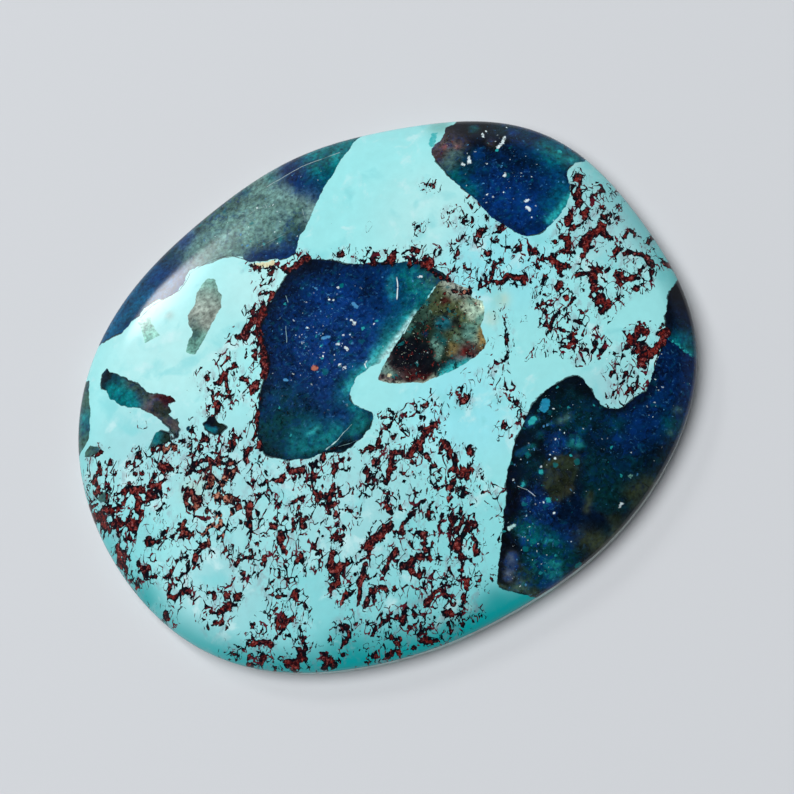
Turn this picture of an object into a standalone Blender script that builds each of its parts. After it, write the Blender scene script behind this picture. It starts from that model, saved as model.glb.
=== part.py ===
# A polished shattuckite cabochon: one piece of stone with a flat back, an upright
# girdle, a sloping shoulder and a low domed crown, hand cut to an uneven oval.
import math

import bmesh
import bpy

# Driving dimensions, in metres. +X runs along the stone's length and z = 0 is its back.
# The girdle's distance from the middle, every 20 degrees round from +X towards +Y:
GIRDLE_RADII = (
    0.0221, 0.0222, 0.0212, 0.0194, 0.0187, 0.0184,
    0.0192, 0.0207, 0.0218, 0.0221, 0.0221, 0.0212,
    0.0196, 0.0187, 0.0188, 0.0199, 0.0214, 0.0225,
)
THICKNESS = 0.0050
BACK_BEVEL = 0.0004       # worn edge between the back and the girdle, as wide as high
GIRDLE_TOP = 0.0019       # height where the girdle would meet the shoulder, if sharp
GIRDLE_LEAN = 0.0001      # how far the girdle leans in towards the back
GIRDLE_ROUND = 0.0004     # width of the rounding between girdle and shoulder
GIRDLE_ROUND_DROP = 0.0002
SHOULDER_WIDTH = 0.00145
SHOULDER_RISE = 0.0010
RIDGE_SOFTNESS = 0.00022  # how far the blend lowers the ridge between shoulder and crown

# How the ridge wanders inside the outline, as
# (swellings in one turn, share of the shoulder's width, direction of the first, degrees)
SHOULDER_SWELLINGS = (
    (2, 0.09, 70.0),
    (3, 0.06, 10.0),
)

# Mesh resolution
SEGMENTS = 108            # round the girdle
CROWN_RINGS = 14
SHOULDER_INSETS = (
    0.0021, 0.0018, 0.0015, 0.0012, 0.0009, 0.0006, 0.0004, 0.0002, 0.00005, 0.0,
)
GIRDLE_RINGS = 2
BACK_SHARE = 0.6          # ring on the flat back, between its middle and the bevel

STONE_COLOUR = (0.26, 0.71, 0.70, 1.0)
STONE_ROUGHNESS = 0.1


def girdle_radius(angle):
    """Distance from the middle to the girdle: a smooth closed curve through the radii."""
    count = len(GIRDLE_RADII)
    total = 0.0
    for index, radius in enumerate(GIRDLE_RADII):
        turn = angle - math.tau * index / count
        if abs(math.sin(turn / 2)) < 1e-9:
            return radius
        total += radius * math.sin(count * turn / 2) / (count * math.tan(turn / 2))
    return total


def shoulder_width(angle):
    """Width of the shoulder towards an angle."""
    swelling = sum(
        share * math.cos(count * (angle - math.radians(first)))
        for count, share, first in SHOULDER_SWELLINGS
    )
    return SHOULDER_WIDTH * (1 + swelling)


def top_height(inset, radius, shoulder):
    """Height of the upper face, an inset in from the girdle, where the radius is as given."""
    ridge = GIRDLE_TOP + SHOULDER_RISE
    share = (radius - inset) / (radius - shoulder)
    crown = ridge + (THICKNESS - ridge) * (1 - share**2)
    slope = GIRDLE_TOP + SHOULDER_RISE * inset / shoulder
    height = (crown + slope - math.hypot(crown - slope, 2 * RIDGE_SOFTNESS)) / 2
    if inset < GIRDLE_ROUND:
        height -= GIRDLE_ROUND_DROP * (1 - math.sqrt(1 - (1 - inset / GIRDLE_ROUND) ** 2))
    return height


def section(angle):
    """The stone's section towards an angle, from crown to back, as (distance, height)."""
    radius = girdle_radius(angle)
    shoulder = shoulder_width(angle)
    inner = radius - SHOULDER_INSETS[0]
    points = []
    for ring in range(CROWN_RINGS):
        distance = inner * ring / CROWN_RINGS
        points.append((distance, top_height(radius - distance, radius, shoulder)))
    for inset in SHOULDER_INSETS:
        points.append((radius - inset, top_height(inset, radius, shoulder)))
    girdle_edge = points[-1][1]
    for ring in range(1, GIRDLE_RINGS + 1):
        share = ring / GIRDLE_RINGS
        height = girdle_edge + (BACK_BEVEL - girdle_edge) * share
        points.append((radius - GIRDLE_LEAN * share, height))
    back = radius - GIRDLE_LEAN - BACK_BEVEL
    points.append((back, 0.0))
    points.append((back * BACK_SHARE, 0.0))
    points.append((0.0, 0.0))
    return points


def make_stone():
    """The cabochon: a sphere's rings, each moved to its place on the stone's section."""
    sections = [section(math.tau * i / SEGMENTS) for i in range(SEGMENTS)]
    rings = len(sections[0]) - 1
    shape = bmesh.new()
    bmesh.ops.create_uvsphere(shape, u_segments=SEGMENTS, v_segments=rings, radius=1.0)
    for vertex in shape.verts:
        down = math.acos(max(-1.0, min(1.0, vertex.co.z)))
        ring = round(down / math.pi * rings)
        segment = round(math.atan2(vertex.co.y, vertex.co.x) / math.tau * SEGMENTS) % SEGMENTS
        distance, height = sections[segment][ring]
        turn = math.tau * segment / SEGMENTS
        vertex.co = (distance * math.cos(turn), distance * math.sin(turn), height)
    bmesh.ops.recalc_face_normals(shape, faces=shape.faces)
    mesh = bpy.data.meshes.new("stone")
    shape.to_mesh(mesh)
    shape.free()
    mesh.shade_smooth()
    mesh.set_sharp_from_angle(angle=math.radians(30))
    return bpy.data.objects.new("stone", mesh)


def polished_stone():
    """Material of the stone: glossy blue-green."""
    material = bpy.data.materials.new("polished shattuckite")
    material.use_nodes = True
    shader = material.node_tree.nodes["Principled BSDF"]
    shader.inputs["Base Color"].default_value = STONE_COLOUR
    shader.inputs["Roughness"].default_value = STONE_ROUGHNESS
    shader.inputs["Metallic"].default_value = 0.0
    return material


for old in list(bpy.data.objects):
    bpy.data.objects.remove(old, do_unlink=True)

group = bpy.data.collections.new("shattuckite stone")
bpy.context.scene.collection.children.link(group)
stone = make_stone()
stone.data.materials.append(polished_stone())
group.objects.link(stone)
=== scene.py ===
import math

import bpy
import numpy as np
from mathutils import Matrix, Vector


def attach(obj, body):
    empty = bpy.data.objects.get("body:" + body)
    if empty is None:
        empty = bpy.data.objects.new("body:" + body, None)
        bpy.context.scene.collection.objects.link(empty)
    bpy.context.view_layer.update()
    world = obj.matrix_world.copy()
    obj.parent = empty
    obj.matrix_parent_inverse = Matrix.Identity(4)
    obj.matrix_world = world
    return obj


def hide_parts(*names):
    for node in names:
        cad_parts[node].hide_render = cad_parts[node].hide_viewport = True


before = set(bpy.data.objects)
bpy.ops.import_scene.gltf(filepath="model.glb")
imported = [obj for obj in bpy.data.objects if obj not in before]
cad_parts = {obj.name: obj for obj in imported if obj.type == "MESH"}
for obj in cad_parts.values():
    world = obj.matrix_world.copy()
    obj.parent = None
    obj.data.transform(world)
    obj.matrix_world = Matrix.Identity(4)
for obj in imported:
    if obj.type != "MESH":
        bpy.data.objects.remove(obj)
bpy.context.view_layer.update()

# A polished shattuckite cabochon. Lengths are in millimetres unless a note says otherwise:
# +X runs along the stone, +Y across it, and +Z is up from its flat back.

mm = 0.001
tiny = 1e-9
scene = bpy.context.scene


def linear(red, green, blue):
    # a colour as picked on screen, 0 to 255, as linear light by the sRGB curve
    parts = [value / 255 for value in (red, green, blue)]
    parts = [v / 12.92 if v <= 0.04045 else ((v + 0.055) / 1.055) ** 2.4 for v in parts]
    return (*parts, 1.0)


# The cut of the stone and how finely it is meshed

stoneCut = {
    "radii": (  # from the middle to the girdle, every 20 degrees round from +X towards +Y
        22.1, 22.2, 21.2, 19.4, 18.7, 18.4, 19.2, 20.7, 21.8,
        22.1, 22.1, 21.2, 19.6, 18.7, 18.8, 19.9, 21.4, 22.5,
    ),
    "thickness": 5.0,
    "backBevel": 0.4,
    "girdleTop": 1.9,
    "girdleLean": 0.1,
    "girdleRound": 0.4,
    "girdleRoundDrop": 0.2,
    "shoulderWidth": 1.45,
    "shoulderRise": 1.0,
    "shoulderSwellings": ((2, 0.09, 70.0), (3, 0.06, 10.0)),  # count, share, first at
    "ridgeSoftness": 0.22,
    "faceSpacing": 0.14,
    "bandWidth": 2.0,      # outer part of the face, where the loops follow the girdle
    "bandLoops": 17,
    "bandCrowding": 1.15,  # above 1 the loops crowd towards the girdle
    "girdleLoops": 9,
    "bevelLoops": 3,
    "backSpacing": 0.42,
    "leastPoints": 6,
    "sharpFrom": 30.0,     # degrees between faces
}


def girdleRadius(angle):
    # the smooth closed curve of fewest waves that passes through every radius
    radii = np.array(stoneCut["radii"])
    half = (angle[:, None] - 2 * np.pi * np.arange(len(radii)) / len(radii)) / 2
    onPoint = np.abs(np.sin(half)) < tiny
    slope = np.where(onPoint, 1.0, len(radii) * np.tan(half))
    share = np.where(onPoint, 1.0, np.sin(len(radii) * half) / slope)
    return share @ radii


def shoulderWidth(angle):
    swelling = sum(
        share * np.cos(count * (angle - math.radians(first)))
        for count, share, first in stoneCut["shoulderSwellings"]
    )
    return stoneCut["shoulderWidth"] * (1 + swelling)


def topHeight(inset, radius, shoulder):
    cut = stoneCut
    ridge = cut["girdleTop"] + cut["shoulderRise"]
    share = (radius - inset) / (radius - shoulder)
    crown = ridge + (cut["thickness"] - ridge) * (1 - share**2)
    slope = cut["girdleTop"] + cut["shoulderRise"] * inset / shoulder
    height = (crown + slope - np.hypot(crown - slope, 2 * cut["ridgeSoftness"])) / 2
    edge = np.clip(1 - inset / cut["girdleRound"], 0, 1)
    return height - cut["girdleRoundDrop"] * (1 - np.sqrt(1 - edge**2))


def stoneLoops():
    # each loop of the mesh, from the crown down and in to the middle of the back, as
    # the angle, distance from the middle and height of its points
    cut = stoneCut
    loops = []

    def addLoop(count, place):
        angle = 2 * np.pi * np.arange(count) / count
        distance, height = place(girdleRadius(angle), shoulderWidth(angle))
        loops.append((angle, distance, height + 0 * angle))

    meanCrown = np.mean(cut["radii"]) - cut["bandWidth"]
    meanBand = meanCrown + cut["bandWidth"] / 2
    rimCount = round(2 * np.pi * meanBand / cut["faceSpacing"])
    crownLoops = round(meanCrown / cut["faceSpacing"])
    for step in range(1, crownLoops):
        share = step / crownLoops
        count = round(2 * np.pi * meanCrown * share / cut["faceSpacing"])

        def onCrown(radius, shoulder):
            distance = (radius - cut["bandWidth"]) * share
            return distance, topHeight(radius - distance, radius, shoulder)

        addLoop(max(cut["leastPoints"], count), onCrown)
    for step in range(cut["bandLoops"] + 1):
        inset = cut["bandWidth"] * (1 - step / cut["bandLoops"]) ** cut["bandCrowding"]

        def onBand(radius, shoulder):
            return radius - inset, topHeight(inset, radius, shoulder)

        addLoop(rimCount, onBand)
    for step in range(1, cut["girdleLoops"] + 1):
        share = step / cut["girdleLoops"]

        def onGirdle(radius, shoulder):
            edge = topHeight(0 * radius, radius, shoulder)
            return radius - cut["girdleLean"] * share, edge + (cut["backBevel"] - edge) * share

        addLoop(rimCount, onGirdle)
    for step in range(1, cut["bevelLoops"] + 1):
        drop = cut["backBevel"] * step / cut["bevelLoops"]

        def onBevel(radius, shoulder):
            return radius - cut["girdleLean"] - drop, cut["backBevel"] - drop

        addLoop(rimCount, onBevel)
    backEdge = cut["girdleLean"] + cut["backBevel"]
    meanBack = np.mean(cut["radii"]) - backEdge
    backLoops = round(meanBack / cut["backSpacing"])
    for step in range(backLoops - 1, 0, -1):
        share = step / backLoops
        count = round(2 * np.pi * meanBack * share / cut["backSpacing"])

        def onBack(radius, shoulder):
            return (radius - backEdge) * share, 0.0

        addLoop(max(cut["leastPoints"], count), onBack)
    return loops


def laceLoops(upper, lower):
    # faces between two loops of (first vertex, count), which may have different counts
    (upperStart, upperCount), (lowerStart, lowerCount) = upper, lower
    faces = []
    i = j = 0
    while i < upperCount or j < lowerCount:
        above, below = upperStart + i % upperCount, lowerStart + j % lowerCount
        upperNext = upperStart + (i + 1) % upperCount
        lowerNext = lowerStart + (j + 1) % lowerCount
        upperTurn, lowerTurn = (i + 1) / upperCount, (j + 1) / lowerCount
        if upperCount == lowerCount:
            faces.append((above, below, lowerNext, upperNext))
            i, j = i + 1, j + 1
        elif j >= lowerCount or (i < upperCount and upperTurn < lowerTurn):
            faces.append((above, below, upperNext))
            i += 1
        else:
            faces.append((above, below, lowerNext))
            j += 1
    return faces


def makeStone():
    points = [np.array([[0.0, 0.0, stoneCut["thickness"]]])]
    spans = []
    start = 1
    for angle, distance, height in stoneLoops():
        points.append(np.stack([distance * np.cos(angle), distance * np.sin(angle), height], 1))
        spans.append((start, len(angle)))
        start += len(angle)
    points.append(np.array([[0.0, 0.0, 0.0]]))
    points = np.concatenate(points)
    # the crown's own middle is a little lower than its full height, as on the cut stone
    middle = np.zeros(1)
    radius, shoulder = girdleRadius(middle), shoulderWidth(middle)
    points[0, 2] = topHeight(radius, radius, shoulder)[0]

    first, last = spans[0], spans[-1]
    faces = [(0, first[0] + k, first[0] + (k + 1) % first[1]) for k in range(first[1])]
    for upper, lower in zip(spans, spans[1:]):
        faces += laceLoops(upper, lower)
    end = len(points) - 1
    faces += [(end, last[0] + (k + 1) % last[1], last[0] + k) for k in range(last[1])]

    mesh = bpy.data.meshes.new("shattuckiteStone")
    mesh.from_pydata((points * mm).tolist(), [], faces)
    mesh.shade_smooth()
    mesh.set_sharp_from_angle(angle=math.radians(stoneCut["sharpFrom"]))
    stone = bpy.data.objects.new("shattuckiteStone", mesh)
    scene.collection.objects.link(stone)
    return stone, points


stone, stonePoints = makeStone()
print("stone meshed:", len(stonePoints), "points,", len(stone.data.polygons), "faces")


# The stone's figure: blue pools, a brown quartz window, and red-brown lace in turquoise.
# Places are (x, y) on the face, and colours are named here once.

colours = {
    "aqua": linear(150, 221, 223),
    "paleAqua": linear(203, 232, 234),
    "blueAqua": linear(138, 217, 228),
    "greyAqua": linear(150, 203, 208),
    "deepAqua": linear(122, 203, 208),
    "milkAqua": linear(178, 226, 226),
    # painted shade: the teal that the shoulder and the near rim are darkened to
    "paintedShadeTeal": linear(0, 148, 152),
    "rimGrey": linear(100, 130, 128),
    "navy": linear(2, 36, 84),
    "deepNavy": linear(1, 20, 44),
    "midBlue": linear(1, 48, 100),
    "royal": linear(4, 48, 112),
    "teal": linear(1, 91, 108),
    "tealGreen": linear(0, 103, 108),
    "darkTeal": linear(3, 42, 52),
    "nearBlack": linear(8, 12, 20),
    "oliveGrey": linear(92, 130, 124),
    "softGrey": linear(176, 196, 196),
    "darkOlive": linear(24, 37, 27),
    "olive": linear(64, 74, 46),
    "browned": linear(84, 74, 74),
    "cream": linear(186, 204, 180),
    "sand": linear(222, 212, 168),
    "leafGreen": linear(97, 148, 137),
    "leafGrey": linear(134, 146, 138),
    "ribbonTeal": linear(8, 108, 113),
    "ribbonBrown": linear(46, 62, 58),
    "edgeGreen": linear(55, 92, 82),
    "chipBlue": linear(30, 140, 178),
    "maroon": linear(50, 8, 12),
    "redBrown": linear(110, 30, 24),
    "salmon": linear(196, 138, 112),
    "mauve": linear(132, 112, 128),
    "moss": linear(142, 196, 184),
    "deepGreen": linear(4, 60, 62),
    "seaBlue": linear(0, 84, 118),
    "wineInk": linear(84, 24, 36),
    "ochre": linear(146, 126, 76),
    "pink": linear(150, 84, 82),
    "rust": linear(176, 104, 80),
    "frost": linear(222, 242, 246),
    "skyGlint": linear(70, 140, 190),
    "glowTeal": linear(38, 168, 172),
    "greyCrystal": linear(98, 114, 134),
    # partly painted reflection: the pale that the girdle wall shows, mirroring pale surroundings
    "edgePaleAndReflection": linear(206, 218, 214),
}

# An edge or a stroke of lace is walked: x and y of its first point in tenths of a millimetre,
# then the step to each point after it. A pool's edge holds washes, as (x, y, reach, colour), over
# them chips, as (colour, how far it covers, softness of its edge, then x, y, x, y and so on round
# it), and over those glows, as (colour, reach, how far it covers, then its run). The later lie
# on top

backCrescent = {
    "edge": (
        86, 179, -6, -6, -8, -3, -6, -5, -6, -3, -8, -6, -6, -5, -5, -2, -5, -4, -6, -5, -8, -7,
        -6, -5, -5, -5, -5, -1, -4, -5, -2, -3, -3, -4, -6, 0, -6, 2, -1, 2, -4, 2, -6, 2, -5, 3,
        -4, 2, -2, 3, -1, 4, -4, 3, -5, 2, -3, 2, -8, 1, -6, 2, -6, 2, -5, 0, -4, -2, -2, -3, -5,
        -3, -7, -2, -7, 1, -6, 3, -6, 0, -6, -1, -5, -3, -6, 0, -4, -2, -6, -2, -7, 2, -7, 1, -7,
        1, -10, 4, 10, 44, 100, 40, 80, 0, 75, 0,
    ),
    "glows": (
        ("seaBlue", 1.2, 0.95, -15.4, 14.2, -13, 15.6, -10.6, 17),
        ("seaBlue", 0.8, 0.7, -14.6, 13.4, -11.6, 14.2, -9.4, 14),
        ("tealGreen", 0.7, 0.6, -12, 16.8, -9.6, 18), ("darkTeal", 0.6, 0.7, -8.2, 16.6),
        ("royal", 0.45, 0.9, -6.8, 16.7, -6.4, 16.8),
        ("oliveGrey", 1.3, 0.8, -5.6, 15.6, -3.2, 15.8, -1.2, 15.2),
        ("oliveGrey", 1, 0.7, -1, 13.6, 0.6, 14.8), ("edgeGreen", 1, 0.7, -5, 18, -2.6, 18.2),
        ("tealGreen", 0.4, 0.7, -1.3, 17.9), ("tealGreen", 0.4, 0.7, 0.8, 17.8),
        ("navy", 0.6, 0.9, 2.2, 17.8, 2.4, 16), ("deepNavy", 0.4, 0.8, 3, 18.3),
        ("tealGreen", 0.9, 0.95, 4.4, 16.8, 7.4, 17.6), ("glowTeal", 0.4, 0.4, 5.6, 16.7),
        ("navy", 0.4, 0.8, -3.5, 12.5, -2.2, 12.2, -1.2, 11.4), ("deepNavy", 0.25, 0.8, -1.8, 12),
        ("tealGreen", 0.3, 0.7, -0.8, 12.7), ("edgeGreen", 0.5, 0.6, 0.4, 13.2, 1.4, 14),
    ),
    "washes": (
        (-14.5, 14, 2.4, "navy"), (-12, 15, 2.2, "deepNavy"), (-9.5, 14.6, 1.6, "royal"),
        (-8.6, 16.4, 1.3, "darkTeal"), (-6.6, 16.9, 0.9, "royal"), (-6, 15.2, 1.6, "oliveGrey"),
        (-3.6, 15.5, 2, "oliveGrey"), (-3.4, 17.6, 1.4, "darkTeal"), (-1, 14.4, 1.6, "oliveGrey"),
        (-0.6, 17, 1.8, "oliveGrey"), (-1, 12, 1, "navy"), (-2.2, 12.4, 0.8, "deepNavy"),
        (0.1, 12.7, 0.7, "darkTeal"), (1, 15, 1.2, "rimGrey"), (2.4, 16.8, 1.2, "navy"),
        (2.8, 15.4, 0.8, "midBlue"), (5.2, 16.6, 1.6, "tealGreen"), (7, 17.6, 1.2, "teal"),
    ),
}

middlePool = {
    "shade": 0.84,
    "edge": (
        0, 101, 6, -2, 6, -4, 7, -6, 5, -6, 5, -3, 5, -3, 8, -4, 8, -4, 7, -5, 5, -2, 6, -4, 5, -6,
        4, -6, 3, -5, 1, -7, 0, -4, -11, 5, -7, -4, -5, -3, -8, -4, -6, -2, -8, -5, -7, -4, -7, -4,
        -6, -2, -7, -2, -6, 1, -5, -1, -6, 0, -5, -4, -5, -4, -2, -4, 1, -5, 3, -5, 3, -3, 2, -4,
        -2, -4, -5, -4, -7, -3, -9, -2, -8, 0, -6, 3, -5, 3, -6, 1, -6, 1, -6, 3, -6, 3, -6, 5, -5,
        5, -2, 4, 0, 6, 1, 6, 2, 5, 4, 6, 4, 7, 4, 6, 4, 5, 5, 5, 5, 6, 2, 8, 2, 8, 4, 9, 4, 6, 5,
        6, 5, 5, 7, 4, 7, 4, 8, 5, 8, 3,
    ),
    "glows": (
        ("glowTeal", 0.45, 0.95, 4.9, 2.8, 4, 2.2, 3, 1.8, 2, 1.3, 1, 0.9),
        ("milkAqua", 0.16, 0.9, 4.9, 2.5, 3.9, 2, 3, 1.5),
        ("milkAqua", 0.3, 0.95, 3, 1.4, 2, 0.9, 1.2, 0.6, 0.4, 0.6),
        ("glowTeal", 0.3, 0.9, 0.9, 0.8, -0.2, 0.7, -1.1, 0.5, -1.9, 0),
        ("teal", 0.5, 0.6, -0.6, 1, -1.9, 0.6, -2.6, -0.4),
        ("teal", 0.7, 0.6, 5.2, 3.6, 3.8, 3, 2.6, 2.3),
        ("tealGreen", 0.8, 0.9, 5, 3.4, 5.7, 4, 6.4, 4.7),
        ("glowTeal", 0.3, 0.35, 5.6, 3.9, 6.1, 4.4), ("edgeGreen", 0.7, 0.6, 7, 4.2, 7.6, 4.2),
        ("glowTeal", 0.28, 0.8, 4.6, 5.6, 4.3, 5.1, 4.2, 4.4),
        ("midBlue", 0.5, 0.6, 4.3, 6, 4.6, 4.2, 4, 3.4),
        ("nearBlack", 0.9, 0.85, -5.6, 6.2, -6.3, 4.2, -7.6, 2.4, -8.7, 0.6, -9, -1),
        ("nearBlack", 0.9, 0.6, -4.9, 7.4, -3.4, 8.8, -1.6, 9.8, 0.4, 9.8),
        ("nearBlack", 0.4, 0.6, 1.6, 8.8, 3, 7.8, 5.2, 6.6, 7.2, 5.2, 8, 4),
        ("darkTeal", 0.9, 0.7, -7.2, 1.2, -5.4, 1.9),
        ("deepGreen", 1.3, 0.6, -7.7, 0.4, -6.4, -0.6),
        ("midBlue", 0.5, 0.5, -7.6, 1.6, -6.8, 2.2),
        ("nearBlack", 0.3, 0.7, -8.4, -1.6, -7.2, -2.5, -5.8, -3),
        ("teal", 0.5, 0.6, -6.4, -1, -5, -1.5), ("glowTeal", 0.16, 0.6, -5.7, -1.4, -4.8, -1.3),
        ("tealGreen", 0.5, 0.8, -4.8, -2.3, -3.8, -2),
        ("nearBlack", 0.3, 0.9, -5.3, -3.2, -4.3, -3.3, -3.2, -3.2),
        ("tealGreen", 0.4, 0.9, -2.9, -2.9, -2.1, -2.6, -1.7, -1.8, -2.1, -1.2),
        ("nearBlack", 0.18, 0.6, -1.2, -2.2, -1.7, -3, -2.8, -3.5),
        ("royal", 0.7, 0.6, -0.4, 7.2, 1.4, 5.6), ("royal", 0.6, 0.6, -2.4, 5.2, -3.2, 3.6),
        ("royal", 0.6, 0.5, -0.8, 2.2, -2.6, 1.2), ("deepNavy", 0.5, 0.6, -0.2, 4.6, 0.9, 2.4),
        ("deepNavy", 0.5, 0.6, 2.4, 7, 3, 4.6), ("deepNavy", 0.6, 0.6, -4.4, 6.2, -4.2, 4.2),
        ("royal", 0.3, 0.5, 2, 7.8), ("royal", 0.4, 0.6, 1.6, 3.4),
    ),
    "chips": (
        ("deepGreen", 0.85, 0.2, -2.7, -2.3, -2.1, -2, -1.6, -2, -1.2, -2.3, -1.5, -3, -2.2, -3.5,
         -2.8, -3.6, -3.4, -3.4, -4.3, -3.2, -3.5, -2.5),
        ("nearBlack", 0.85, 0.15, -4.3, -3.2, -3.4, -3.4, -2.8, -3.6, -3, -3.8, -3.8, -3.9, -4.7,
         -3.6, -5.3, -3.4, -5.3, -3),
    ),
    "washes": (
        (-2, 8.2, 2, "deepNavy"), (1, 8.6, 1.4, "deepNavy"), (-3.6, 6.2, 1.6, "navy"),
        (0, 6, 2.2, "royal"), (-1.5, 3.6, 2.2, "royal"), (2.8, 6, 1.6, "navy"),
        (4.6, 5.4, 0.9, "midBlue"), (5.6, 5.4, 0.8, "tealGreen"), (5.4, 3.6, 0.8, "tealGreen"),
        (6.3, 4.5, 0.7, "glowTeal"), (7.2, 4.6, 0.8, "darkTeal"), (3.2, 3.2, 1.4, "midBlue"),
        (2.6, 1.9, 0.55, "glowTeal"), (1.4, 1.2, 0.5, "glowTeal"), (4, 2.6, 0.5, "tealGreen"),
        (-1.4, 0.5, 0.55, "teal"), (-2.1, 0, 0.5, "teal"), (1, 2.6, 1.2, "royal"),
        (-4.8, 3.4, 1.8, "navy"), (-6.6, 2, 1.2, "darkTeal"), (-7.4, 0.8, 1.4, "darkTeal"),
        (-8, -0.6, 1, "darkTeal"), (-5.6, 0.4, 1.4, "darkTeal"), (-5.4, -1.3, 1, "teal"),
        (-6.6, -2, 1, "tealGreen"), (-3.6, 0.8, 1.6, "navy"), (-3.4, -1.2, 1.3, "midBlue"),
        (-4.6, -2.2, 0.8, "tealGreen"), (-2, -2.7, 0.7, "tealGreen"), (-3.4, -3, 0.5, "darkTeal"),
    ),
}

farPool = {
    "shade": 0.9,
    "edge": (
        153, 152, -6, -4, -5, -3, -7, 0, -3, -5, -5, -4, -5, -1, -4, -2, -2, -5, 0, -7, 2, -15, 4,
        -14, 4, -13, 3, -18, 5, -9, 5, -10, 4, -5, 9, -3, 9, 2, 11, 4, 9, 6, 4, 4, 4, 8, 3, 9, 3,
        3, 6, 2, 7, -1, 2, 3, 30, 8, -20, 58, -50, 45,
    ),
    "glows": (
        ("browned", 0.7, 0.85, 12.2, 12.9, 13.6, 12.8), ("maroon", 0.4, 0.7, 12.1, 12.4),
        ("pink", 0.22, 0.7, 12.7, 12.9), ("pink", 0.2, 0.6, 13.4, 12.4),
        ("oliveGrey", 0.5, 0.6, 12.2, 11.5, 12.9, 12),
        ("nearBlack", 0.7, 0.85, 14.4, 13.6, 15.8, 13.4, 16.4, 12.2),
        ("tealGreen", 0.3, 0.6, 15.2, 13.3), ("nearBlack", 0.4, 0.7, 15.3, 11.6, 16.1, 11),
        ("browned", 0.3, 0.5, 15.7, 11.5), ("midBlue", 0.4, 0.7, 14.5, 11.2),
        ("darkTeal", 0.8, 0.7, 17, 12.4, 18.2, 11), ("royal", 0.3, 0.7, 17.4, 11.5),
        ("deepNavy", 0.7, 0.8, 15.9, 9.6, 17.2, 8.6), ("royal", 0.7, 0.7, 14.4, 8.6, 14.6, 6.8),
        ("royal", 0.6, 0.6, 16, 6.6, 16.6, 5.6), ("tealGreen", 0.5, 0.6, 12.2, 10.4, 12.8, 8.6),
        ("tealGreen", 0.6, 0.8, 18.9, 9.4, 19.8, 8), ("glowTeal", 0.35, 0.7, 20, 7.6),
        ("royal", 0.5, 0.7, 20.7, 8.7), ("deepNavy", 0.4, 0.8, 14.9, 4.3, 15.6, 4.1),
        ("glowTeal", 0.34, 0.9, 16.4, 4, 17.4, 4.4, 18.5, 5), ("teal", 0.6, 0.6, 17, 5, 18.4, 6),
        ("nearBlack", 0.3, 0.6, 14.2, 4, 13.2, 6), ("nearBlack", 0.4, 0.6, 19, 6.4, 19.6, 7.2),
    ),
    "chips": (
        ("nearBlack", 0.7, 0.4, 15.4, 14.5, 16.3, 13.8, 17.1, 12.9, 17.5, 12, 16.7, 10.9, 15.4,
         10.8, 14.5, 11.3, 14.2, 11.9),
        ("darkOlive", 0.7, 0.3, 15.4, 11.8, 16, 11.6, 15.8, 10.8, 15.2, 11.2),
        ("midBlue", 0.7, 0.3, 14.5, 11.6, 15, 11.3, 14.8, 10.8, 14.4, 10.8),
        ("royal", 0.5, 0.4, 15.8, 9.8, 16.4, 9.5, 16.1, 8.9, 15.5, 9),
        ("royal", 0.55, 0.5, 13.8, 7.2, 14.8, 6.8, 15.2, 5.9, 14.6, 4.8, 13.8, 5.4, 13.3, 6.6),
        ("tealGreen", 0.7, 0.4, 18.8, 8.9, 19.7, 8.7, 19.4, 7.8, 18.6, 7.7, 18.4, 8.3),
        ("teal", 0.75, 0.3, 19.3, 7.9, 20.3, 7.2, 19.6, 7, 19.1, 6.8),
        ("darkTeal", 0.8, 0.4, 18.9, 10.2, 19.5, 9.9, 19.2, 9.3, 18.6, 9.6),
        ("deepNavy", 0.8, 0.25, 17.4, 11.8, 17.8, 11.8, 17.5, 11.1, 17.2, 11.5),
        ("deepGreen", 0.7, 0.3, 16.4, 6, 17.1, 5.7, 16.7, 4.7, 16.1, 5),
    ),
    "washes": (
        (12.6, 13.4, 1, "browned"), (13.6, 14.6, 1, "nearBlack"), (15.4, 12.8, 1.8, "nearBlack"),
        (13.4, 11, 1.2, "darkTeal"), (16.6, 10.4, 1.8, "deepNavy"), (14.6, 8.4, 1.8, "navy"),
        (16.6, 7.4, 1.6, "navy"), (15, 5.4, 1.2, "royal"), (16.6, 4.6, 1, "midBlue"),
        (18.2, 6.4, 1, "midBlue"), (19.4, 8.6, 1.4, "teal"), (18.4, 10.6, 1.2, "navy"),
        (20.8, 8, 1, "teal"), (17.4, 12.6, 1.2, "darkTeal"),
    ),
}

rightEyePool = {
    "edge": (
        224, -36, -6, -5, -6, -3, -5, -4, -4, -6, -5, -6, -3, -6, -2, -6, -1, -6, 3, -5, 3, -6, 3,
        -6, 5, -4, 19, -6, 35, 35, -10, 40,
    ),
    "glows": (
        ("tealGreen", 0.3, 0.8, 19.3, -7.7, 20.2, -9.2),
        ("nearBlack", 0.4, 0.8, 20.2, -5.6, 19.5, -7.2),
    ),
    "washes": (
        (21.6, -5.4, 1.4, "nearBlack"), (20, -8.3, 0.8, "teal"), (20.6, -6.6, 1, "deepNavy"),
        (20.8, -9.2, 0.9, "darkTeal"),
    ),
}

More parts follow.
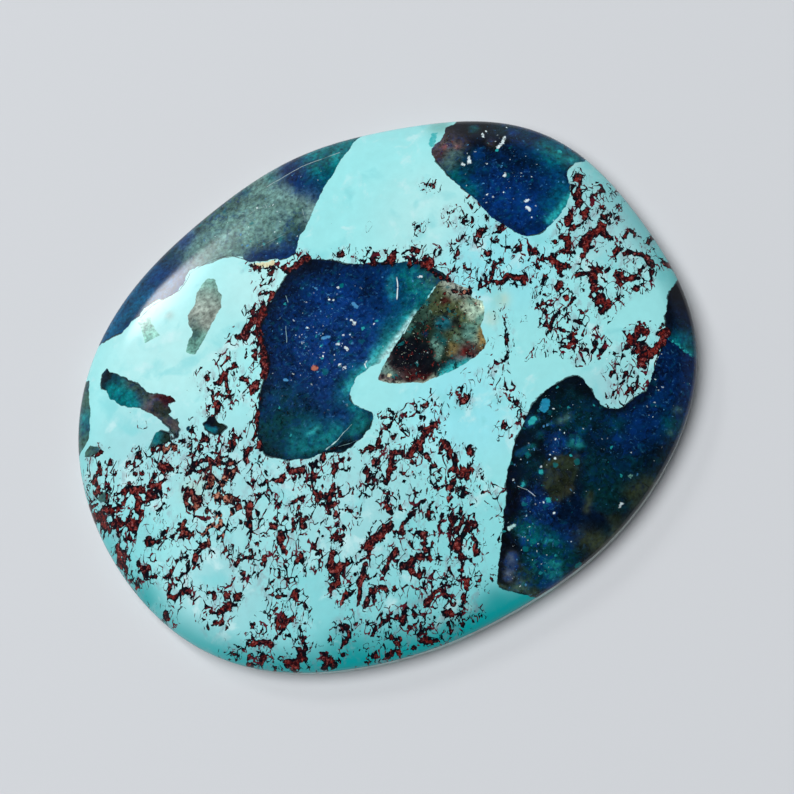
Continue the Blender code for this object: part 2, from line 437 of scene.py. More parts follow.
nearPool = {
    "shade": 0.57,
    "edge": (
        192, -72, -6, -6, -6, -5, -6, -5, -5, -5, -5, -5, -4, -3, -8, 0, -8, -2, -7, 0, -6, 3, -3,
        5, -1, 7, 0, 8, -1, 7, -2, 3, -5, 2, -7, 0, -8, 0, -7, -1, -6, -2, -6, -3, -6, -4, -6, -5,
        -7, -5, -5, -4, -4, -5, -4, -4, -5, -5, -4, -6, -3, -6, -4, -6, -4, -4, -2, -5, -5, -5, -4,
        -6, -4, -5, -4, -5, -4, -6, -3, -4, -2, -4, 4, -5, 7, -6, 8, -7, 6, -44, 130, 10, 70, 80,
        -15, 40, -11, 4, -5, 8, -4, 8,
    ),
    "glows": (
        ("nearBlack", 1, 0.75, 12.8, -7.7, 10.7, -7.6, 8.6, -8.5, 6.4, -10, 4.2, -12.3, 2.3,
         -14.7),
        ("darkTeal", 2.2, 0.6, 14.2, -12.3, 14.7, -14.7, 11.9, -16.3),
        ("nearBlack", 0.7, 0.95, 12.2, -7.1, 10.2, -7.1, 8.4, -7.8, 6.6, -9.2, 5, -11, 3.8, -12.8,
         2.4, -14.6, 1.2, -16.2),
        ("nearBlack", 0.5, 0.9, 12.6, -7.4, 12.9, -9.4, 13.6, -10.4, 15.6, -10.4, 17.4, -9.2),
        ("darkTeal", 1.2, 0.8, 8.6, -8.8, 11, -8.4), ("darkTeal", 0.9, 0.8, 6.6, -11),
        ("leafGreen", 0.2, 0.5, 9.8, -9.2, 10.5, -9.2), ("chipBlue", 0.15, 0.5, 9.2, -9.1),
        ("glowTeal", 0.22, 0.8, 7.9, -8.3, 8.3, -8.2), ("royal", 0.5, 0.8, 8.6, -10.5, 9.1, -10.4),
        ("glowTeal", 0.25, 0.6, 9.6, -10.9, 10.1, -11.2), ("teal", 0.3, 0.7, 10.7, -10.5),
        ("tealGreen", 0.2, 0.8, 5.5, -11.7), ("tealGreen", 0.2, 0.8, 6.9, -11.6),
        ("tealGreen", 0.2, 0.8, 6.2, -9.8, 7.3, -9.8), ("tealGreen", 0.2, 0.7, 8.1, -9.4),
        ("royal", 0.35, 0.8, 5.9, -13.3, 5.2, -12.8),
        ("olive", 0.55, 0.8, 7.4, -13.2, 8.2, -12.4, 9, -12.1),
        ("darkOlive", 0.8, 0.7, 7.4, -13, 8.8, -12.4), ("deepNavy", 1, 0.9, 7.8, -14.6, 8.6, -16),
        ("darkTeal", 1.2, 0.85, 10.4, -12.9, 11.8, -14.2),
        ("olive", 0.22, 0.7, 8.3, -15.3, 9.1, -14.5),
        ("olive", 0.6, 0.75, 11.6, -15.7, 12.8, -15.6), ("navy", 1.1, 0.9, 13.2, -12.6, 15.2, -12),
        ("royal", 0.5, 0.6, 14.4, -11.6), ("navy", 0.9, 0.8, 17.4, -10.4, 18.6, -9.2),
        ("royal", 0.4, 0.5, 18, -10.4), ("teal", 0.45, 0.7, 16.1, -12.7),
        ("leafGreen", 0.16, 0.5, 16, -13.3), ("leafGreen", 0.25, 0.7, 17.2, -12.2),
        ("olive", 0.7, 0.7, 7.6, -17.2), ("darkTeal", 0.5, 0.7, 8.8, -17.2),
        ("tealGreen", 0.5, 0.9, 3.9, -14.2, 4.2, -14.8),
        ("glowTeal", 0.5, 0.7, 3.8, -16.9, 4.1, -17.8), ("tealGreen", 0.8, 0.6, 3.9, -17.2),
        ("royal", 0.5, 0.7, 3.8, -18.4), ("edgeGreen", 0.4, 0.6, 2.6, -17.2, 1.8, -17.7),
        ("greyCrystal", 0.3, 0.85, 1.5, -16.5, 2.3, -15.6), ("deepNavy", 0.6, 0.8, 13.6, -14.4),
        ("teal", 0.5, 0.5, 13, -11.2), ("darkOlive", 0.6, 0.6, 10, -16.6),
    ),
    "chips": (
        ("nearBlack", 0.8, 0.5, 6.3, -9.4, 8, -8.2, 9.8, -7, 11.6, -6.7, 12.7, -7.1, 12.5, -7.6,
         10.7, -7.5, 9.2, -8.8, 7.1, -10.3, 4.7, -11.9, 3.5, -12.9, 4.8, -10.7),
        ("deepGreen", 0.6, 0.5, 10.1, -7.2, 11.6, -7.6, 12.4, -9.1, 11.1, -10.6, 9.5, -9.7, 9.2,
         -8.4),
        ("deepGreen", 0.9, 0.3, 10.2, -11.6, 11.9, -13.1, 13.4, -13.8, 14.6, -14.6, 12.7, -16,
         10.5, -16.6, 9.3, -16.2, 8.3, -15.1, 9, -13.4),
        ("deepNavy", 0.85, 0.3, 9.7, -11.9, 10.3, -11.6, 9.7, -12.9, 8.7, -14.1, 8.2, -14.6, 9.1,
         -16.1, 9.5, -16.9, 8, -17.3, 7.3, -16, 6.1, -15.2, 6.3, -14.4, 7.7, -14.3),
        ("olive", 0.75, 0.2, 7.5, -11.1, 8.3, -11.1, 9.7, -11.9, 9.1, -12.8, 8, -13.7, 7.2, -14.1,
         6.5, -13.3, 6.8, -12.2),
        ("ochre", 0.22, 0.4, 7.6, -12.2, 8.6, -12.3, 8.1, -13.6, 7.1, -13.8),
        ("tealGreen", 0.9, 0.2, 3.8, -14.1, 4.5, -14.3, 4.5, -15.1, 3.5, -15.4, 3.4, -14.7),
        ("glowTeal", 0.8, 0.2, 4, -17, 5, -17.1, 5, -17.9, 4, -18.4, 3.5, -17.7),
        ("deepGreen", 0.9, 0.3, 3.1, -15.3, 4.7, -15.8, 6.2, -16.8, 6.1, -18.1, 4.8, -18.4, 3.2,
         -18.5, 2.1, -17.8, 2.4, -16.6),
        ("glowTeal", 0.6, 0.2, 4.6, -15.5, 5.4, -15.7, 5.3, -16.1, 4.6, -16),
        ("glowTeal", 0.7, 0.25, 4.1, -17.1, 5, -17.1, 4.9, -17.9, 4, -18.3, 3.6, -17.8),
        ("olive", 0.6, 0.3, 11.7, -16, 12.9, -16.1, 13.8, -15.7, 13.8, -16, 11.5, -17, 10.7, -17),
        ("olive", 0.7, 0.3, 7.9, -16.8, 8.8, -16.9, 8.2, -17.7, 7.4, -17.9),
        ("nearBlack", 0.85, 0.25, 2.3, -13.9, 3.6, -14.2, 3.1, -15.7, 1.9, -17.3, 0.8, -17.5, 0.8,
         -16.3),
        ("greyCrystal", 0.3, 0.2, 1.9, -15.1, 2.5, -15.3, 2.5, -16.2, 1.6, -17.1, 1.2, -16.7),
        ("oliveGrey", 0.35, 0.3, 0.7, -16.9, 1.9, -17.3, 2.7, -18.4, 2, -18.6, 0.7, -17.6),
        ("royal", 0.7, 0.25, 8.8, -10.2, 9.7, -10.4, 9.5, -11.2, 8.7, -11.1),
        ("royal", 0.6, 0.25, 5.5, -12.6, 6.7, -13.8, 5.9, -14.4, 5.2, -13.4),
        ("tealGreen", 0.45, 0.3, 16, -12.3, 17, -12.7, 16.3, -13.5, 15.6, -13.6),
        ("tealGreen", 0.5, 0.25, 10.2, -8.8, 11.2, -9.3, 10.4, -9.5, 9.7, -9.3),
        ("glowTeal", 0.5, 0.2, 9.8, -10.3, 10.3, -10.8, 10.4, -11.4, 9.6, -11.1),
    ),
    "washes": (
        (11.2, -7.6, 0.9, "nearBlack"), (8.8, -8.4, 0.9, "nearBlack"),
        (6.6, -10, 0.9, "nearBlack"), (5, -12, 0.9, "nearBlack"), (3.2, -14.4, 0.9, "nearBlack"),
        (12.6, -11.2, 1.2, "darkTeal"), (9.6, -9.8, 1.2, "deepNavy"),
        (7.8, -12.6, 0.9, "darkOlive"), (5.6, -13.2, 0.9, "navy"), (10.8, -12.6, 1.4, "deepNavy"),
        (11, -15, 1.2, "darkOlive"), (8.2, -16.7, 1.1, "olive"), (7, -15.4, 0.9, "navy"),
        (15, -11.8, 1.8, "navy"), (18, -9.4, 1.2, "navy"), (17.4, -11.6, 1.2, "midBlue"),
        (14.4, -14.4, 1.4, "deepNavy"), (16.4, -12.8, 0.7, "teal"), (4, -14.8, 0.7, "teal"),
        (4.8, -16.4, 0.8, "teal"), (1.8, -16.3, 0.5, "oliveGrey"), (1.9, -17.7, 0.8, "olive"),
        (4.2, -18.2, 0.9, "navy"), (6.6, -18, 0.9, "darkTeal"), (12, -17, 1.4, "darkOlive"),
    ),
}

leftRibbonPool = {
    "edge": (
        -166, 108, 2, 1, 4, 1, 0, -4, 5, -6, 4, -5, 0, -3, 6, -7, 3, -9, 2, -3, 6, -4, 3, -4, 2,
        -1, 2, -7, -2, 1, -5, 2, 1, -7, -3, 0, 1, -6, 3, -1, -2, -5, 0, -3, -2, 0, -2, -4, -3, 1,
        2, 4, -2, 2, 1, 3, -2, 6, -5, 10, -5, 8, -6, 5, -6, 5, -2, 6, -3, 3, 1, 8, -3, 4,
    ),
    "chips": (
        ("tealGreen", 0.75, 0.3, -16.8, 9.6, -16.1, 9.5, -15.3, 8.4, -15, 7.5, -15.2, 6.9, -15.8,
         7.3, -16.4, 7.8, -16.9, 8.7),
        ("nearBlack", 0.8, 0.2, -16.6, 10.8, -16, 11, -15.8, 10.2, -16.1, 9.9, -16.6, 10.2, -17,
         10),
        ("ribbonBrown", 0.85, 0.25, -15.5, 10, -15.1, 9.2, -14.5, 8.5, -14.2, 7.6, -14.2, 6.9,
         -14.8, 7.3, -15.1, 8.4, -15.2, 9.1),
        ("maroon", 0.75, 0.2, -14.1, 7.2, -13.4, 6.9, -13.1, 6.5, -12.9, 6.4, -12.8, 5.9, -13.4, 6,
         -13.7, 6.3, -13.9, 6.8),
        ("darkOlive", 0.8, 0.25, -14.3, 6.8, -13.6, 6.2, -13.3, 5.3, -13.6, 5.2, -14.3, 5.6, -14.6,
         6.2),
        ("browned", 0.7, 0.2, -14.1, 5.3, -13.5, 4.8, -13.3, 4.4, -13.6, 3.7, -13.9, 3.9, -14.1,
         4.6),
    ),
    "washes": (
        (-16.3, 10.2, 0.8, "darkTeal"), (-15.9, 8.8, 0.8, "ribbonTeal"),
        (-15.4, 7.6, 0.6, "ribbonTeal"), (-14.7, 7.6, 0.6, "ribbonBrown"),
        (-14.3, 6.4, 0.7, "browned"), (-13.4, 6.4, 0.5, "maroon"), (-13.9, 5, 0.7, "ribbonBrown"),
        (-15, 9, 0.5, "ribbonBrown"),
    ),
}

leftSliverPool = {
    "edge": (
        -180, 113, 4, -2, -4, -7, -3, -8, -3, -9, -5, -9, -5, -7, -8, -4, -5, -1, -3, -3, -18, 5,
        5, 32, 30, 30,
    ),
    "washes": (
        (-18.6, 10.4, 1.2, "edgeGreen"), (-20.6, 7.4, 1, "edgeGreen"),
        (-19.6, 8.6, 0.8, "ribbonTeal"),
    ),
}

rimChipPool = {
    "edge": (
        -202, 65, 5, 1, 5, -4, 1, -3, -4, -2, -6, 2, -3, 3,
    ),
    "washes": (
        (-20.2, 6.2, 1, "edgeGreen"),
    ),
}

westChipPool = {
    "edge": (
        -210, 29, 8, 1, 2, -4, -4, -4, -5, 3,
    ),
    "washes": (
        (-20.5, 2.6, 1, "edgeGreen"),
    ),
}

eastChipPool = {
    "edge": (
        -118, 32, 6, 3, 3, 0, 1, -7, 4, -7, -5, -1, -5, 1, -4, 6,
    ),
    "chips": (
        ("tealGreen", 0.9, 0.15, -11.7, 3, -10.9, 2.6, -11.1, 2.3, -11.6, 2.4),
    ),
    "washes": (
        (-11.2, 3.1, 0.6, "nearBlack"), (-10.7, 2.5, 0.4, "darkOlive"),
    ),
}

ribbonChipPool = {
    "edge": (
        -162, 38, 6, 4, 6, 4, 4, -1, 4, -5, -1, -5, -7, 1, -4, 1,
    ),
    "washes": (
        (-15.2, 4.4, 0.4, "ribbonTeal"), (-14.6, 4.1, 0.4, "darkOlive"),
        (-15.9, 4, 0.3, "edgeGreen"),
    ),
}

leafPool = {
    "edge": (
        -66, 129, 4, -4, -2, -9, 1, -5, -5, -8, -7, -5, -11, -8, -6, -4, -8, -5, -5, 6, 3, 4, 8, 6,
        0, 8, 3, 6, 8, 5, 5, 7, 6, 4,
    ),
    "chips": (
        ("edgeGreen", 0.5, 0.5, -10.1, 9.2, -9, 9.2, -8.4, 10.4, -9, 11),
    ),
    "washes": (
        (-6.8, 12.2, 1, "leafGreen"), (-8, 10.9, 1, "leafGrey"), (-7.2, 11.6, 0.6, "leafGrey"),
        (-9.8, 8.8, 0.8, "leafGreen"),
    ),
}

mossChipPool = {
    "edge": (
        -125, 130, 9, -4, -1, -10, 2, -7, -13, 1, 2, 7,
    ),
    "washes": (
        (-12, 12, 1, "moss"), (-12.4, 11.2, 0.4, "leafGreen"),
    ),
}

ribbonSpeckPool = {
    "edge": (
        -129, 38, 2, -1, -1, -3, -3, 0,
    ),
    "washes": (
        (-12.9, 3.6, 1, "darkTeal"),
    ),
}

pools = (
    backCrescent, middlePool, farPool, rightEyePool, nearPool, leftRibbonPool, leftSliverPool,
    rimChipPool, westChipPool, eastChipPool, ribbonChipPool, leafPool, mossChipPool,
    ribbonSpeckPool,
)

# The window of quartz is laid out as a pool is

quartz = {
    "edge": (
        3, -5, 3, 3, 4, 3, 6, 4, 6, 4, 7, 4, 7, 4, 8, 5, 6, 3, 8, 3, 5, 3, 7, 4, 6, 2, 5, -4, 4,
        -5, 5, -6, -2, -7, 3, -3, 3, -3, -2, -5, -3, -6, -5, -4, -2, -6, 0, -6, -4, -4, -8, -2, -8,
        -1, -9, 0, -11, 1, -6, 1, -6, 0, -6, 4, -6, 3, -6, 3, -5, 4,
    ),
    "glows": (
        ("nearBlack", 0.6, 0.5, 2.4, -0.4, 3.8, 0.2), ("maroon", 0.4, 0.8, 6.6, -1.8, 7.2, -1.7),
        ("darkOlive", 0.6, 0.6, 5, 2.2, 6, 2.8), ("tealGreen", 0.25, 0.6, 5.4, 0.2, 5.6, -0.4),
        ("glowTeal", 0.3, 0.8, 4.4, -2.4, 5.4, -2.5, 6.4, -2.5),
        ("cream", 0.25, 0.7, 9, 1.2, 9.1, 0.5),
    ),
    "chips": (
        ("nearBlack", 0.85, 0.2, 2.9, 1.3, 3.8, 1.2, 4.7, 0.5, 4.6, -0.2, 4.6, -0.9, 4.7, -1.6,
         4.2, -2.1, 3.8, -2.1, 3.4, -1.5, 2.8, -1.1, 2.2, -0.6, 1.6, -0.1, 1.8, 0.5),
        ("maroon", 0.7, 0.2, 1.9, -0.5, 2.4, -0.7, 2.8, -1.7, 2.5, -1.9, 2, -1.2),
        ("cream", 0.45, 0.2, 0.3, -0.7, 1, -0.9, 1.7, -1.4, 2.6, -2, 3.7, -2.2, 4.2, -2.2, 3.9,
         -2.6, 2.8, -2.3, 0.5, -1),
        ("leafGreen", 0.5, 0.2, 5, 0.2, 5.5, 0.1, 5.4, -0.6, 5, -1.3, 4.6, -1.3, 4.7, -0.4),
        ("darkOlive", 0.8, 0.25, 4.6, 1.7, 5.7, 1.5, 5.5, 0.8, 4.8, 0.5, 4.3, 0.4, 3.9, 1.2),
        ("teal", 0.55, 0.2, 5.8, 1.3, 6.4, 1.2, 6.8, 0.6, 6.5, 0.2, 5.8, 0.6),
        ("maroon", 0.9, 0.15, 6.7, 2.5, 7.4, 2.4, 7.3, 1.9, 6.8, 1.9, 6.6, 2.2),
        ("olive", 0.8, 0.25, 5.8, 2.5, 6.5, 2.6, 6.2, 2.3, 7.1, 1.5, 7.6, 1.7, 8.2, 1.8, 7.5, 0.8,
         6.7, 1.1, 5.9, 1.8),
        ("cream", 0.45, 0.25, 8, 1.4, 8.8, 1.3, 9.3, 0.7, 8.9, 0, 8.1, 0.1, 7.8, 0.7, 7.8, 1.1),
        ("leafGreen", 0.6, 0.25, 7.4, 0.1, 7.9, -0.3, 8.1, -1, 7.5, -1.8, 7.1, -1.4, 7, -0.6),
        ("ochre", 0.45, 0.2, 5.8, -0.6, 6.2, -0.8, 6.1, -1.4, 5.5, -1.6, 5.4, -1.1),
        ("darkOlive", 0.85, 0.15, 5.6, -0.2, 6, -0.3, 5.7, -1, 5.3, -1.5, 5.7, -1.9, 4.9, -1.8,
         4.7, -1.4, 5.2, -0.9),
        ("redBrown", 0.85, 0.2, 6.5, -1.5, 7, -1.9, 6.9, -2.3, 6.5, -2.3, 6.2, -1.9),
        ("ochre", 0.4, 0.2, 8, -1.1, 8.3, -1.5, 8, -2.2, 7.5, -2.2, 7.6, -1.6),
        ("nearBlack", 0.8, 0.15, 6.9, 1, 7.5, 0.8, 7.2, 0, 7.2, -0.5, 6.8, -0.3, 6.8, 0.1),
        ("glowTeal", 0.85, 0.15, 4.4, -2.1, 5.3, -2.1, 6.3, -2.4, 6.1, -2.6, 5.2, -2.5, 4.1, -2.4),
        ("leafGreen", 0.5, 0.2, 0.7, 0.5, 1.4, 0.5, 1.6, -0.1, 1.7, -0.8, 1.1, -0.7, 0.7, -0.2),
        ("leafGreen", 0.5, 0.2, 6.5, -0.1, 6.8, -0.7, 6.7, -1.3, 6.3, -0.7),
        ("navy", 0.7, 0.15, 4.6, 1.1, 5, 0.9, 4.9, 0.6, 4.5, 0.6),
    ),
    "washes": (
        (1.6, -0.6, 1, "browned"), (3, 0.2, 1.2, "nearBlack"), (2.8, -1.6, 0.8, "maroon"),
        (4.4, -1, 0.8, "darkOlive"), (5.2, 0.8, 1.2, "darkOlive"), (4.6, 2, 1, "edgeGreen"),
        (6.9, 2.3, 0.8, "olive"), (6.3, 0.9, 0.5, "teal"), (7.4, 1, 0.9, "olive"),
        (8.7, 0.6, 0.6, "leafGreen"), (8.3, 2.6, 0.7, "leafGrey"), (5.2, -2.4, 0.5, "teal"),
        (7.3, -0.6, 0.5, "edgeGreen"), (6.7, -1.8, 0.7, "browned"), (8, -1.6, 0.5, "ochre"),
        (6.2, -0.6, 0.7, "olive"), (5.9, 3, 0.6, "edgeGreen"),
    ),
}

# Washes in the turquoise ground as (x, y, reach, colour), and stains and painted shade on it with
# their amount

ground = {
    "base": "aqua",
    # the pale washes at the upper left are partly the ground's own tone, partly a painted
    # reflection of the window light; the deep aqua ones towards -Y are partly painted shade
    "washes": (
        (-12, 9, 3.4, "milkAqua"), (-4, 10.4, 2.2, "milkAqua"), (-16, 4, 3, "greyAqua"),
        (-11.5, -1, 2.8, "greyAqua"), (5, 12, 4, "aqua"), (8.5, 9, 3, "milkAqua"),
        (11.5, 3, 3, "blueAqua"), (5, -5, 3, "blueAqua"), (17, -5.5, 3, "aqua"),
        (14, -8.6, 1.6, "greyAqua"), (19.6, 1.6, 2.2, "greyAqua"), (-1, -14, 4.2, "deepAqua"),
        (-8, -14.5, 4.4, "deepAqua"), (-16, -8, 3.2, "greyAqua"), (-20.5, -1, 2, "deepAqua"),
        (-18, -12, 2.4, "deepAqua"), (-12, -12, 3.4, "deepAqua"), (-6, -8, 3.6, "greyAqua"),
        (9, -4.4, 2.4, "aqua"),
    ),
    # the teal stains at the near and left rim are painted shade; the rest are the ground's own
    # stains
    "stainsAndPaintedShade": (
        (-10.3, 11.9, 0.35, "leafGrey", 0.45), (10.5, 0.4, 0.6, "cream", 0.8),
        (9.3, -0.5, 0.5, "cream", 0.8), (-14.6, -0.6, 0.8, "cream", 0.5),
        (-13.2, -0.2, 0.6, "cream", 0.5), (-10.5, -15.7, 2, "paintedShadeTeal", 0.8),
        (-2.3, -18.4, 1.6, "paintedShadeTeal", 0.85), (0, -17.6, 1.2, "paintedShadeTeal", 0.7),
        (-7.5, -16.6, 1.4, "paintedShadeTeal", 0.5), (-21.3, -5, 1.4, "paintedShadeTeal", 0.7),
        (-16.1, -6.9, 0.8, "deepAqua", 0.8), (13.2, 14.9, 0.9, "leafGreen", 0.7),
        (-9, -4, 0.8, "deepAqua", 0.6), (4.5, -5, 0.9, "deepAqua", 0.6),
        (-2.7, -10.5, 0.7, "deepAqua", 0.8), (-5, -15, 0.8, "paintedShadeTeal", 0.5),
        (-10.3, -11.7, 0.8, "deepAqua", 0.6),
    ),
}

# Red-brown lace with black rims, region by region. Each stroke is half its width in hundredths
# of a millimetre, then its walk

westLace = (
    (15, -204, -68, -1, -5), (15, -129, 33, 4, 1), (23, -218, 28, 6, -2), (32, -218, 21, 6, -6),
    (29, -210, 20, 6, -5), (19, -214, 11, 5, -5, 5, -2), (15, -203, 16, 4, -2, 4, 0, 4, 3, 1, 4),
    (10, -198, 20, 3, -3), (6, -196, 23, 4, 0), (13, -190, 23, 4, -1, 3, -4, 3, -2, 2, -2),
    (8, -189, 20, 5, 1), (19, -183, 10, -3, -3, -2, -3), (13, -180, 6, -5, -4, -5, -5),
    (16, -194, 0, -3, -4, -4, -4), (16, -192, -3, -5, -5), (13, -203, -8, 2, -3),
    (10, -191, 7, -2, -3), (10, -205, 11, 0, -4, 4, -3, 5, -1, 2, 0), (19, -204, 2, 4, 0),
    (10, -212, 6, 0, -2), (8, -206, 0, -1, -2), (10, -202, 32, 4, -2), (13, -201, 29, -4, -6),
    (6, -209, 34, 5, -4), (10, -202, 46, 3, -2, -1, -3), (10, -205, 43, -1, -4, 2, -3),
    (5, -208, 47, 0, -3), (6, -199, 54, 0, -3), (6, -192, 48, 2, -2), (5, -197, 47, 1, -2),
    (5, -193, 43), (8, -179, 38, 3, 0), (6, -175, 35, 3, -2, 4, 0), (8, -170, 38, 4, 1),
    (5, -171, 37, 5, -1), (6, -189, 35), (5, -190, 32), (4, -186, 32), (5, -177, 28),
    (6, -172, 26), (6, -168, 24), (4, -169, 28), (6, -160, 32, 0, -5, 2, -3),
    (10, -159, 22, 2, -2, 3, 0, 2, -3, 3, -2, 5, -2), (14, -152, 15, 2, -3, 4, -3, 4, -2),
    (8, -143, 11, 4, -3, 1, -3), (8, -140, 9, 4, 1, 5, 0, 3, -1, 4, -3),
    (8, -136, 4, 5, -2, 5, 1, 3, -1), (21, -121, 2, 3, -3, 4, -1), (10, -111, -3, 0, -4),
    (14, -111, 5, 4, 2, 3, 3), (8, -118, 4, 4, -1), (12, -114, -9, -4, -2, -4, 1),
    (8, -118, -6, -2, -1), (19, -135, -2, 5, -2), (21, -135, -7, 5, -1), (16, -130, -14, 3, 2),
    (8, -138, -8, 4, -2), (10, -132, -17, 2, 0), (10, -166, 21, 3, -1, 2, -1),
    (10, -168, 19, 3, -1), (6, -160, 21, 2, -4), (8, -163, 12, 4, 0), (8, -166, 11, -4, 2, -3, 2),
    (8, -164, 12, -3, -3), (10, -178, 9, 4, -2, 4, -3), (8, -174, 10, 5, -2), (5, -178, 7, 3, 0),
    (5, -164, 5, 1, 1), (21, -147, -6, -2, -5, -1, -5), (8, -149, -2, -3, -4, -1, -5, -1, -5),
    (14, -148, -17, -3, -2), (10, -145, -11, -1, -4), (8, -140, -8, 4, 0),
    (8, -153, -22, -4, -2, -3, 0), (7, -143, -21, -2, -3), (6, -135, -17),
    (10, -129, -22, 3, -2, 2, -3, 3, -2, 3, -2), (10, -129, -24, 3, -4, 2, -4, 2, -1),
    (8, -135, -27, -3, -2, -3, -4), (14, -137, -30, -1, -4), (8, -143, -37, 4, -1),
    (5, -133, -31, 2, -3), (6, -131, -39, 2, -2, 2, -2), (6, -172, -3, 1, 0, 0, -3, -2, -3),
    (14, -175, -12), (6, -176, -16), (19, -165, -22, -3, -2), (13, -161, -21, -4, -3),
    (10, -164, -29, -4, 2, -5, 1, -4, 2, -4, 1), (13, -178, -20, 3, 0), (9, -179, -19, -2, -2),
    (8, -185, -23, -1, 2), (7, -189, -18, -3, 0, -1, -2, 2, -2), (10, -189, -22, 4, -1),
    (6, -182, -25), (8, -160, -32, 1, -3, 3, -1, 3, 1, 2, 1), (5, -149, -34, 4, -1),
    (6, -159, -44, 2, 0), (4, -160, -38, 1, -4), (3, -161, -45, -3, 0, -4, -3),
    (6, -145, -45, -2, -3, -2, -2), (6, -149, -52, 4, -2), (8, -144, -51, 0, -3),
    (8, -142, -57, 2, -3, 2, -2), (8, -141, -63, 0, -3), (6, -144, -67, 2, 2),
    (27, -214, -13, -2, -5, -1, -4), (23, -211, -16, -3, -5), (13, -213, -9), (13, -217, -26),
    (8, -181, -42, 3, 0, 2, 0), (8, -183, -44, 2, 0), (10, -173, -43, 2, 0),
    (6, -172, -46, -1, -2), (5, -175, -49, 1, -2, 3, 0), (8, -211, -31, 3, -1, 1, -2),
    (9, -205, -33, 3, -1, 3, -1), (7, -199, -36, 4, -2, 2, -3), (6, -205, -36, 2, -3),
    (5, -211, -37, 1, 2), (5, -197, -32, -2, -1), (5, -205, -28, 2, 1),
    (10, -200, -42, 4, -3, 4, -3, 3, 0), (7, -197, -40, 1, -3), (21, -192, -52, 0, -2),
    (6, -187, -47, 1, 1), (6, -195, -49, 0, -4), (6, -187, -57, 3, -1, 3, -1),
    (6, -184, -60, -3, -1), (8, -192, -63, 3, 0, 4, 0), (8, -183, -64, 1, -3),
    (10, -196, -60, 2, -3), (4, -216, -35, 1, -3, 1, -3), (5, -173, -71, 2, -2),
    (4, -183, -53, 3, 1), (10, -169, -78, 2, 2), (10, -160, -81, 3, 0), (21, -155, -85, 3, -1),
    (8, -154, -79, 4, 2, 3, 0, 3, 0), (6, -199, 58, 5, -1, 3, -1), (35, -100, 61),
    (14, -87, 63, 5, 1), (22, -81, 67), (24, -94, 53, 6, 4, 4, 1, 4, -1),
    (18, -88, 54, -3, -7, -1, -4), (14, -98, 55, 3, -2), (19, -102, 46, 4, 1, 2, -4, 3, -3, 5, -1),
    (12, -101, 53, 2, -4, 8, -6), (13, -98, 41, -4, -2, -4, -4, -3, -2), (12, -110, 40, 3, 2),
    (13, -114, 23, -1, -3, 0, -5, -3, -4, -1, -2), (8, -120, 20, 1, -5), (16, -112, 7, 5, 3, 4, 1),
    (14, -144, 33, 4, -1, 4, -2), (10, -146, 28, 3, 2), (5, -147, 34, -3, -5),
    (8, -141, 22, 3, -4, 5, 0, 3, 3), (8, -157, 35, 3, 1, 4, -2),
    (8, -127, 27, 2, -4, 4, 0, -1, 4), (10, -130, 29, 5, 5),
)

